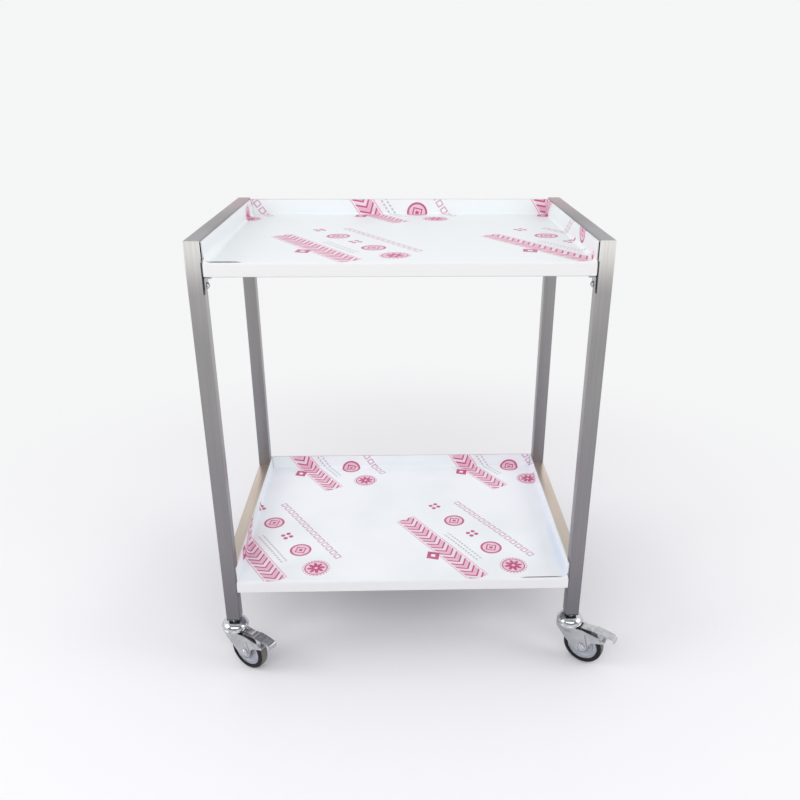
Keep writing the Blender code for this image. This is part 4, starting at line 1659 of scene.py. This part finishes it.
@dataclass
class Caster:
    """Swivel caster with stem, cup, race, fork, axle, wheel and brake pedal."""

    corner: Corner
    x: float
    y: float
    turn: float
    wheel_r: float = 0.0375
    crown_z: float = 0.0762
    trail: float = 0.031
    fork_half: float = 0.0130
    fork_sheet: float = 0.0020
    flare: float = 0.0095
    bend: float = 0.0026
    crown_r: float = 0.0245
    flat_from: float = 0.0175
    cup_top: float = 0.0931
    race_low: float = 0.0765
    race_high: float = 0.0805
    race_r: float = 0.0232
    race_bore: float = 0.0125
    nut_top: float = 0.0974
    stem_r: float = 0.0050
    stem_top: float = 0.126
    axle_r: float = 0.0040
    axle_head_r: float = 0.0065
    pedal_half: float = 0.0104
    pin_x: float = 0.0650
    pin_z: float = 0.0640
    bead_drop: float = 0.0012
    bead_wide: float = 0.0011
    bead_high: float = 0.0007
    crease_wide: float = 0.0012
    crease_deep: float = 0.0010
    pedal_sheet: float = 0.0018
    ribs: tuple[float, ...] = (0.0235, 0.0270, 0.0305, 0.0340)
    rib_high: float = 0.00055
    dimple_deep: float = 0.0009
    swage_high: float = 0.0004
    ear_r: float = 0.0040
    ear_half: float = 0.0009

    @property
    def foot(self) -> Matrix:
        """Place of the fixed pieces."""
        return Matrix.Translation((self.x, self.y, 0))

    @property
    def swivel(self) -> Matrix:
        """Place of the swivelling pieces."""
        return self.foot @ Matrix.Rotation(math.radians(self.turn), 4, "Z")

    @property
    def axle_place(self) -> Matrix:
        """Place that lays a lathe's Z along the axle."""
        return self.swivel @ Matrix.Translation((self.trail, 0, self.wheel_r)) @ Matrix.Rotation(
            math.pi / 2, 4, "X")

    def put(self, kind: str, piece: str, bm: bmesh.types.BMesh, finish: Finish, body: str,
            slot: Slot, angle: float = 35.0) -> bpy.types.Object:
        """Adds one piece of this caster.

        Args:
            kind: Start of the CAD node's name.
            piece: Start of the piece's name.
            bm: Mesh in the row frame.
            finish: Surface.
            body: Start of the body's name, or frame.
            slot: Material slot.
            angle: Sharp edge angle in degrees.

        Returns:
            The object.
        """
        letters = self.corner.value
        rides = body if body == "frame" else body + "_" + letters
        stand = Stand(kind + "_" + letters, rides, slot)
        return add_piece(piece + "_" + letters, bm, finish, stand, angle)

    def stem(self) -> None:
        """Stem with its head below the crown and its nut above the cup."""
        head_top = self.crown_z - self.fork_sheet - 0.0003
        rod = lathe(eased([
            (0.0, head_top - 0.0022), (0.0066, head_top - 0.0022), (0.0080, head_top - 0.0012),
            (0.0080, head_top), (self.stem_r, head_top), (self.stem_r, self.stem_top - 0.001),
            (0.0040, self.stem_top), (0.0, self.stem_top),
        ], 0.0003, 2, True), 32)
        nut = hexagon(0.017, self.nut_top - 0.0040, self.nut_top, self.stem_r - 0.0002)
        washer = lathe([(0.0051, self.cup_top + 0.0001), (0.0096, self.cup_top + 0.0001),
                        (0.0096, self.cup_top + 0.0003), (0.0051, self.cup_top + 0.0003)], 48)
        self.put("stem", "caster_stem", moved(joined([rod, nut, washer]), self.foot), CHROME,
                 "frame", Slot.CHROME)

    def cup(self) -> None:
        """Domed cover of the swivel head with a rolled lower edge."""
        outer = [(0.0053, 0.0), (0.0100, 0.0), (0.0145, -0.0009), (0.0190, -0.0032),
                 (0.0224, -0.0066), (0.0240, -0.0098), (0.0243, -0.0113), (0.0243, -0.0123)]
        inner = [(0.0225, -0.0123), (0.0221, -0.0102), (0.0208, -0.0076), (0.0175, -0.0046),
                 (0.0135, -0.0026), (0.0053, -0.0018)]
        section = eased([(r, self.cup_top + z) for r, z in outer + inner], 0.0022, 3)
        self.put("cup", "swivel_cup", moved(lathe(section, 72), self.foot), CHROME_TURNED, "frame",
                 Slot.CHROME)

    def race(self) -> None:
        """Bright bearing ring between cup and fork."""
        low, high, edge = self.race_low, self.race_high, self.race_r
        section = eased([
            (self.race_bore, low), (edge - 0.0002, low), (edge, low + 0.0002), (edge, low + 0.0015),
            (edge - 0.0007, low + 0.0020), (edge, low + 0.0025), (edge, high - 0.0003),
            (edge - 0.0003, high), (self.race_bore, high),
        ], 0.0003, 2)
        self.put("race", "swivel_race", moved(lathe(section, 72), self.swivel), CHROME_TURNED,
                 "swivel", Slot.CHROME)

    def fork_width(self, x: float) -> float:
        """Half width of the fork's crown at a place along it."""
        swell = 0.0
        if abs(x) < 1.02 * self.crown_r:
            swell = math.cos(math.pi * x / (2.04 * self.crown_r)) ** 2
        wide = self.fork_half + self.flare * swell
        if x < 0:
            wide = min(wide, math.sqrt(max(0.0, self.crown_r ** 2 - x * x)))
        return wide

    def fork_upper(self, x: float) -> float:
        """Upper edge of a cheek."""
        shoulder = self.crown_z - self.bend
        edge = [(0.020, 0.0742), (0.045, 0.0718), (0.0655, 0.0688), (0.0728, 0.0652),
                (0.0742, 0.0626)]
        return min(shoulder, on_curve(x, edge))

    def fork_lower(self, x: float) -> float:
        """Lower edge of a cheek."""
        if 0.0246 < x < 0.0438:
            return self.wheel_r - math.sqrt(max(0.0, 0.0128 ** 2 - (x - self.trail) ** 2))
        edge = [(-0.0245, 0.0722), (-0.0195, 0.0670), (-0.003, 0.046), (0.014, 0.031),
                (0.0246, 0.0264), (0.0438, 0.0375), (0.0446, 0.044), (0.047, 0.0498),
                (0.052, 0.0535), (0.073, 0.0603), (0.0742, 0.0626)]
        return on_curve(x, edge)

    def fork_crease(self, x: float, z: float) -> float:
        """How near a place on a cheek is to the pressed crease, from nought to one."""
        line = [(0.0355, 0.0640), (0.0409, 0.0427), (0.0422, 0.0375), (0.0412, 0.0329),
                (0.0380, 0.0289)]
        spot = Vector((x, z))
        near = 1.0
        for first, second in zip(line, line[1:]):
            start, end = Vector(first), Vector(second)
            share = (spot - start).dot(end - start) / (end - start).length_squared
            share = max(0.0, min(1.0, share))
            near = min(near, (spot - start.lerp(end, share)).length)
        return math.exp(-(near / self.crease_wide) ** 2)

    def fork_press(self, x: float, z: float) -> float:
        """How far a cheek is pressed out at a place: a bead along its upper edge and a crease."""
        below = self.fork_upper(x) - z - self.bead_drop
        bead = self.bead_high * math.exp(-(below / self.bead_wide) ** 2) * smooth(x, 0.018, 0.026)
        bead *= smooth(0.0740 - x, 0.0, 0.004)
        return bead - self.crease_deep * self.fork_crease(x, z)

    def fork_stations(self) -> list[float]:
        """Places along the fork of its cross sections."""
        front = [-self.crown_r * math.cos(math.radians(a))
                 for a in (0, 6, 12, 18, 25, 32, 40, 48, 56, 64)]
        crown = [-0.0090 + 0.0015 * k for k in range(18)] + [self.flat_from]
        neck = [0.0185 + 0.0013 * k for k in range(19)] + [0.0429, 0.0435, 0.0438]
        nose = [0.0440, 0.0443, 0.0446, 0.0452, 0.0460, 0.0470, 0.0480, 0.0490, 0.0500, 0.0510,
                0.0520]
        tip = [0.0535 + 0.0015 * k for k in range(12)]
        tip += [0.0709, 0.0717, 0.0723, 0.0728, 0.0733, 0.0738, 0.0742]
        return front + crown + neck + nose + tip

    def fork(self) -> None:
        """Pressed fork: a round crown drawn into two cheeks."""
        stations = self.fork_stations()
        side_rows = 28
        insets = [0.0, 0.0002, 0.0008, 0.0016, 0.0026]
        shares = [0.8, 0.55, 0.3]
        half_count = side_rows + len(insets) - 1 + len(shares)
        rows = [float(k) for k in range(2 * half_count + 3)]
        bm, spots = lattice(stations, rows)
        middle = half_count + 1
        for index, vert in enumerate(spots):
            x = stations[index % len(stations)]
            row = index // len(stations)
            side = -1 if row < middle else 1
            step = row if row < middle else len(rows) - 1 - row
            vert.co = self.fork_point(x, side, step, side_rows, insets, shares, row == middle)
        lost = []
        for face in bm.faces:
            places = [v.co for v in face.verts]
            crown = all(co.z > self.crown_z - self.bend - HAIR for co in places)
            if crown and min(co.x for co in places) > self.flat_from - HAIR:
                lost.append(face)
        bmesh.ops.delete(bm, geom=lost, context="FACES")
        bmesh.ops.remove_doubles(bm, verts=bm.verts[:], dist=2e-6)
        bmesh.ops.dissolve_degenerate(bm, edges=bm.edges[:], dist=1e-6)
        loose = [v for v in bm.verts if not v.link_faces]
        bmesh.ops.delete(bm, geom=loose, context="VERTS")
        bmesh.ops.recalc_face_normals(bm, faces=bm.faces[:])
        if max(bm.faces, key=lambda f: f.calc_center_median().z).normal.z < 0:
            bmesh.ops.reverse_faces(bm, faces=bm.faces[:])
        flat_map(bm, lambda spot: (spot.x, spot.z))
        obj = self.put("fork", "caster_fork", moved(bm, self.swivel), ZINC, "swivel", Slot.ZINC)
        thicken(obj, self.fork_sheet, -1.0)
        break_edges(obj, 0.0006, 3)
        settle(obj, 40)

    def fork_point(self, x: float, side: int, step: int, side_rows: int, insets: Sequence[float],
                   shares: Sequence[float], on_middle: bool) -> Vector:
        """Place of one grid point of the fork's outer skin.

        Args:
            x: Place along the fork.
            side: Minus one or plus one.
            step: Count of rows up from the cheek's lower edge.
            side_rows: Rows of a cheek.
            insets: How far in from the crown's edge its first rows lie.
            shares: Shares of the crown's half width for its other rows.
            on_middle: Whether the point lies on the middle line.

        Returns:
            The point in the fork's own frame.
        """
        shoulder = self.crown_z - self.bend
        wide = self.fork_width(x)
        top, low = self.fork_upper(x), self.fork_lower(x)
        if step <= side_rows:
            z = low + (top - low) * step / side_rows
            levels = [(0.0500, 0.0), (0.0580, 0.12), (0.0655, 0.45), (0.0712, 0.86), (0.0736, 1.0)]
            base = min(self.fork_half, wide)
            y = base + (wide - base) * on_curve(z, levels)
            return Vector((x, side * (y + self.fork_press(x, z)), z))
        if on_middle:
            y = 0.0
        elif step - side_rows < len(insets):
            y = max(0.0, wide - insets[step - side_rows])
        else:
            y = max(0.0, wide - self.bend) * shares[step - side_rows - len(insets)]
        if x > self.flat_from + 0.0001:
            return Vector((x, side * wide, top + 1e-5))
        inside = wide - y
        if x < 0:
            inside = min(inside, self.crown_r - math.hypot(x, y))
        inside = max(0.0, min(self.bend, inside))
        rise = math.sqrt(self.bend ** 2 - (self.bend - inside) ** 2)
        return Vector((x, side * y, shoulder + rise))

    def axle(self) -> None:
        """Axle bolt with a domed head, washers and a hexagon nut."""
        face = self.fork_half + 0.0003
        head = self.axle_head_r
        tip = face + 0.0070
        profile = [(0.0, -tip), (0.0030, -tip), (self.axle_r, -tip + 0.001),
                   (self.axle_r, face + 0.0006), (head * 0.98, face + 0.0006),
                   (head, face + 0.0009)]
        for turn in quarter(8)[1:-1]:
            profile.append((head * math.cos(turn), face + 0.0010 + 0.0030 * math.sin(turn)))
        profile.append((0.0, face + 0.0042))
        bolt = lathe(profile, 48)
        washers = []
        for side in (1, -1):
            near, far = side * face, side * (face + 0.0007)
            ring = [(self.axle_r, near), (0.0078, near), (0.0078, far), (self.axle_r, far)]
            washers.append(lathe(eased(ring, 0.0002, 2), 48))
        nut = hexagon(0.013, -face - 0.0055, -face - 0.0007, self.axle_r - 0.0001)
        form = moved(joined([bolt, nut] + washers), self.axle_place)
        bmesh.ops.recalc_face_normals(form, faces=form.faces[:])
        self.put("axle", "axle_bolt", form, CHROME, "swivel", Slot.CHROME)

    def hub(self) -> None:
        """Wheel centre with a boss, rings on its web and a raised rim."""
        face = [(0.0043, 0.0104), (0.0074, 0.0104), (0.0080, 0.0100), (0.0088, 0.0072),
                (0.0096, 0.0064), (0.0122, 0.0062), (0.0128, 0.0068), (0.0140, 0.0068),
                (0.0146, 0.0062), (0.0192, 0.0062), (0.0206, 0.0070), (0.0218, 0.0080),
                (0.0236, 0.0080), (0.0242, 0.0074), (0.0262, 0.0074), (0.0270, 0.0078),
                (0.0287, 0.0078)]
        section = eased(face + [(r, -z) for r, z in reversed(face)], 0.0004, 2)
        self.put("hub", "wheel_centre", moved(lathe(section, 72), self.axle_place), HUB_PAINT,
                 "wheel", Slot.HUB)

    def tyre(self) -> None:
        """Tyre with round shoulders and a fine mould line."""
        r = self.wheel_r
        face = [(r - 0.0085, 0.0094), (r - 0.0080, 0.0100), (r - 0.0055, 0.0100),
                (r - 0.0040, 0.0097), (r - 0.0024, 0.0088), (r - 0.0010, 0.0072),
                (r - 0.0003, 0.0052), (r - 0.0001, 0.0030), (r - 0.00005, 0.0004), (r, 0.0)]
        section = eased(face + [(q, -z) for q, z in reversed(face[:-1])], 0.0004, 2)
        self.put("tyre", "wheel_tyre", moved(lathe(section, 96), self.axle_place), RUBBER, "wheel",
                 Slot.RUBBER)

    def pedal_path(self) -> list[Pair]:
        """Middle line of the pedal's plate, from its inner end to its down-turned lip."""
        return [(0.0502, 0.0762), (0.0530, 0.0772), (0.0560, 0.0770), (0.0640, 0.0760),
                (0.0720, 0.0750), (0.0800, 0.0740), (0.0850, 0.0734), (0.0872, 0.0729),
                (0.0886, 0.0719), (0.0893, 0.0704), (0.0896, 0.0680), (0.0899, 0.0644)]

    def pedal(self) -> None:
        """Brake pedal: ribbed foot plate, two ears and the pin they turn on."""
        path = [Vector(p) for p in self.pedal_path()]
        lengths = [0.0]
        for first, second in zip(path, path[1:]):
            lengths.append(lengths[-1] + (second - first).length)
        total = lengths[-1]
        xs = list(zip(lengths, [p.x for p in path]))
        zs = list(zip(lengths, [p.y for p in path]))
        along = [total * k / 90 for k in range(91)]
        across = [-1 + 2 * k / 24 for k in range(25)]
        bm, spots = lattice(along, across)
        for index, vert in enumerate(spots):
            s = along[index % len(along)]
            w = across[index // len(along)]
            half = self.pedal_half * (1 - 0.10 * smooth(s, 0.018, 0.040))
            half *= 1 - 0.20 * (1 - min(1.0, min(s, total - s) / 0.0050)) ** 2
            x, z = on_curve(s, xs), on_curve(s, zs)
            rib = sum(math.exp(-((s - place) / 0.0008) ** 2) for place in self.ribs)
            rib *= smooth(0.86 - abs(w), 0.0, 0.12)
            dimple = math.exp(-(((s - 0.0085) / 0.0030) ** 2 + (w * self.pedal_half / 0.0030) ** 2))
            swage = math.exp(-((abs(w) - 0.93) / 0.06) ** 2) * smooth(s, 0.001, 0.006)
            z += self.rib_high * rib - self.dimple_deep * dimple + self.swage_high * swage
            vert.co = (x, w * half, z)
        bmesh.ops.recalc_face_normals(bm, faces=bm.faces[:])
        if sum(f.normal.z for f in bm.faces) < 0:
            bmesh.ops.reverse_faces(bm, faces=bm.faces[:])
        flat_map(bm, lambda spot: (spot.x, spot.z))
        obj = self.put("pedal", "brake_pedal", moved(bm, self.swivel), PEDAL_PLATE, "brake",
                       Slot.CHROME)
        thicken(obj, self.pedal_sheet, 0.0)
        break_edges(obj, 0.0005, 2)
        settle(obj, 40)
        self.add_ears(obj)

    def add_ears(self, obj: bpy.types.Object) -> None:
        """Adds the ears and the pin to the pedal's mesh."""
        turns = [math.radians(a) for a in range(10, -191, -10)]
        foot = [(self.pin_x + self.ear_r * math.cos(turn), self.pin_z + self.ear_r * math.sin(turn))
                for turn in turns]
        outline = [(0.0580, 0.0764), (0.0700, 0.0750)] + foot
        parts = []
        for side in (1, -1):
            ear = prism(outline, self.ear_half, 0.0003)
            offset = side * (self.pedal_half - self.ear_half)
            parts.append(moved(ear, Matrix.Translation((0, offset, 0))))
        end = self.fork_half + 0.0016
        outline = [(0.0, -end), (0.0024, -end), (0.0027, -end + 0.0010), (0.0019, -end + 0.0011),
                   (0.0019, end - 0.0011), (0.0027, end - 0.0010), (0.0024, end), (0.0, end)]
        pin = lathe(eased(outline, 0.0003, 2, True), 32)
        lay = Matrix.Translation((self.pin_x, 0, self.pin_z)) @ Matrix.Rotation(math.pi / 2, 4, "X")
        parts.append(moved(pin, lay))
        parts.append(self.tongue())
        extra = moved(joined(parts), self.swivel)
        extra.from_mesh(obj.data)
        extra.to_mesh(obj.data)
        extra.free()
        obj.data.shade_smooth()
        obj.data.set_sharp_from_angle(angle=math.radians(40))

    def tongue(self) -> bmesh.types.BMesh:
        """Narrow spring tongue that runs from the plate's inner end over the wheel."""
        upper = [(0.0256, 0.0772), (0.0290, 0.0773), (0.0340, 0.0770), (0.0400, 0.0772),
                 (0.0450, 0.0779), (0.0500, 0.0776), (0.0540, 0.0768)]
        lower = [(x, z - 0.0009) for x, z in reversed(upper)]
        return prism(eased(upper + lower, 0.0004, 2), 0.0092, 0.0002)

    def build(self) -> None:
        """Builds and dresses the whole caster."""
        for make in (self.stem, self.cup, self.race, self.fork, self.axle, self.hub, self.tyre,
                     self.pedal):
            make()


# Studio


@dataclass
class Studio:
    """Wide pale floor, pale sky, soft lamps and the photographer's camera."""

    floor_r: float = 14.0
    camera_spot: tuple[float, float, float] = (-0.0052, -1.4027, 1.0173)
    yaw: float = 0.0315
    pitch: float = 0.4135
    roll: float = 0.0041
    focal: float = 783.7
    centre: Pair = (421.9, 418.3)
    picture: float = 800.0
    sensor: float = 36.0
    sky_light: float = 0.77
    sky_dark: float = 0.70

    def floor(self) -> None:
        """Builds the floor as a wide round sheet."""
        bm = bmesh.new()
        bmesh.ops.create_circle(bm, cap_ends=True, segments=96, radius=self.floor_r)
        bmesh.ops.recalc_face_normals(bm, faces=bm.faces[:])
        if bm.faces[:][0].normal.z < 0:
            bmesh.ops.reverse_faces(bm, faces=bm.faces[:])
        mesh = bpy.data.meshes.new("studio_floor")
        bm.to_mesh(mesh)
        bm.free()
        mesh.materials.append(StudioPaint("studio_paint").material())
        obj = linked("studio_floor", mesh)
        obj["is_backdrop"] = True

    def lamp(self, name: str, spot: Sequence[float], aim: Sequence[float], size: Pair,
             power: float) -> None:
        """Adds a soft oblong lamp.

        Args:
            name: Name of the lamp.
            spot: Where it hangs.
            aim: Where it points.
            size: Its width and height.
            power: Power in watts.
        """
        data = bpy.data.lights.new(name, "AREA")
        data.shape = "RECTANGLE"
        data.size, data.size_y = size
        data.energy = power
        obj = linked(name, data)
        obj.location = spot
        obj.rotation_euler = (Vector(aim) - Vector(spot)).to_track_quat("-Z", "Y").to_euler()

    def world(self) -> None:
        """Sets a pale sky, which glossy metal sees darker high in front of the trolley."""
        sky = bpy.data.worlds.new("studio_sky")
        sky.use_nodes = True
        graph = Graph(sky.node_tree)
        to_camera, to_gloss = graph.rays()
        power = graph.spread(to_camera.larger(to_gloss), self.sky_light, 1.0)
        _, front, high = graph.parts(graph.place())
        dark = graph.step(front, 0.10, -0.45) * self.sky_dark * graph.step(high, 0.12, 0.32)
        back = graph.nodes["Background"]
        graph.put(back.inputs["Color"], SKY)
        graph.put(back.inputs["Strength"], power - dark * to_gloss)
        bpy.context.scene.world = sky

    def camera(self) -> None:
        """Sets the camera at the photograph's place and angle."""
        data = bpy.data.cameras.new("studio_camera")
        data.sensor_width = self.sensor
        data.sensor_fit = "HORIZONTAL"
        data.lens = self.focal * self.sensor / self.picture
        data.shift_x = -(self.centre[0] - self.picture / 2) / self.picture
        data.shift_y = (self.centre[1] - self.picture / 2) / self.picture
        data.clip_start, data.clip_end = 0.02, 60.0
        obj = linked("studio_camera", data)
        level = math.cos(self.pitch)
        ahead = Vector((math.sin(self.yaw) * level, math.cos(self.yaw) * level,
                        -math.sin(self.pitch)))
        aim = ahead.to_track_quat("-Z", "Y").to_matrix().to_4x4()
        spot = Matrix.Translation(self.camera_spot)
        obj.matrix_world = spot @ aim @ Matrix.Rotation(self.roll, 4, "Z")
        bpy.context.scene.camera = obj

    def build(self) -> None:
        """Builds floor, lamps, sky and camera."""
        self.floor()
        self.world()
        self.lamp("front_lamp", (-0.2, -2.5, 2.5), (0, 0, 0.35), (3.8, 1.1), 33)
        self.lamp("left_lamp", (-2.6, -0.5, 1.6), (0, 0, 0.35), (1.6, 1.6), 26)
        self.lamp("right_lamp", (2.6, -0.5, 1.6), (0, 0, 0.35), (1.6, 1.6), 22)
        self.camera()
        bpy.context.scene.view_settings.view_transform = "Standard"


# the legs' stops paint their reflections: a near-white painted highlight near the top, painted shade
# darkening down towards the floor
LEG_STEEL = LegSteel("leg_steel", Grain.ALONG_Z, (
    (0.08, "7A787E"), (0.30, "8E8C8F"), (0.62, "9E9C9C"), (0.70, "AAA8A7"), (0.79, "F4F1ED")))
TOP_RAIL_STEEL = BrushedSteel("top_rail_steel", Grain.ALONG_Y, (
    (-0.225, "9C9CA0"), (-0.02, "8A8486"), (0.20, "B39A9B")), 1, flank="9C9CA0")
# the lower rails' stops paint a warm beige reflection on their top and inner faces, lighter towards
# the back; the flank tone keeps the outer faces plain
LOW_RAIL_STEEL = BrushedSteel("low_rail_steel", Grain.ALONG_Y, (
    (-0.20, "C4BAAE"), (0.05, "DACBBE"), (0.20, "EEDCCE")), 1, "ACA297", flank="A8A7A8")
# the trays' stops paint a near-white highlight along the top edges of both trays' upstands
TRAY_STEEL = BrushedSteel("tray_steel", Grain.ALONG_X, (
    (0.10, "B4B4BA"), (0.19, "B8B8BE"), (0.21, "E6E6E8"), (0.25, "C2C2C8"), (0.76, "C6C6CA"),
    (0.786, "F2F2F3")), 2, "B0B0B4")
FITTING_STEEL = BrushedSteel("fitting_steel", Grain.ALONG_Z, (
    (0.70, "A9A9AD"), (0.76, "C0C0C4")), 2, "8C8C92", 0.26)
CHROME = Plating("chrome_plate", "D2D3D6", "B4B6BC", 0.14)
PEDAL_PLATE = Plating("pedal_plate", "C9CACD", "B6B8BD", 0.25)
CHROME_TURNED = Plating("chrome_turned", "D2D3D6", "B4B6BC", 0.14, 0.0011)
ZINC = ForkZinc("bright_zinc")
HUB_PAINT = HubPaint("hub_paint")
RUBBER = Rubber("tyre_rubber")
PLUG_PLASTIC = PlugPlastic("plug_plastic")


def write_sizes() -> None:
    """Writes the CAD box and the box of what is shown."""
    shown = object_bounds()
    for axis, name in enumerate("XYZ"):
        grown = [1000 * (CAD_BOX[0][axis] - shown[0][axis]),
                 1000 * (shown[1][axis] - CAD_BOX[1][axis])]
        LOG.info("box %s: %.2f mm below, %.2f mm above the CAD box", name, *grown)


def main() -> None:
    """Builds the studio, then the trolley's sub-assemblies in order."""
    logging.basicConfig(level=logging.INFO, format="%(message)s")
    Studio().build()
    frames = SideFrames()
    frames.build()
    top, low = (TOP_FLOOR, TOP_GAP), (LOW_FLOOR, LOW_GAP)
    Tray("tray_top", *top).build()
    Tray("tray_low", *low).build()
    TrayFilm("film_top", *top, print_centre=(-0.0863, -0.0734), slack=((-1.0, 0.012), (1.0, 0.007)),
             slit=(-0.294, -0.240), seed=3.3, apron_shade_tone="E4E4E4", ground_tone="EAEEEF",
             bridge_light_and_shade_tone="F0F4F6", print_pitch=0.3661, overhang=0.0026).build()
    # the lower film's ground tone is painted lighter and bluer than the upper film's, painted light
    # that makes up for the upper tray's shade
    TrayFilm("film_low", *low, print_centre=(0.1281, -0.0807), slack=((-1.0, 0.006), (1.0, 0.014)),
             slit=(0.215, 0.288), seed=8.1, apron_shade_tone="E0E0E3", ground_tone="F2F4F9",
             bridge_light_and_shade_tone="D3DEEF", print_pitch=0.3661).build()
    TrayLugs().build()
    LegPlugs().build(frames)
    turns = {Corner.FRONT_LEFT: -33.7, Corner.FRONT_RIGHT: -33.7, Corner.REAR_LEFT: 33.7,
             Corner.REAR_RIGHT: 146.3}
    for corner, turn in turns.items():
        x, y = frames.leg_spot(corner)
        Caster(corner, x, y, turn).build()
    write_sizes()


if __name__ == "__main__":
    main()
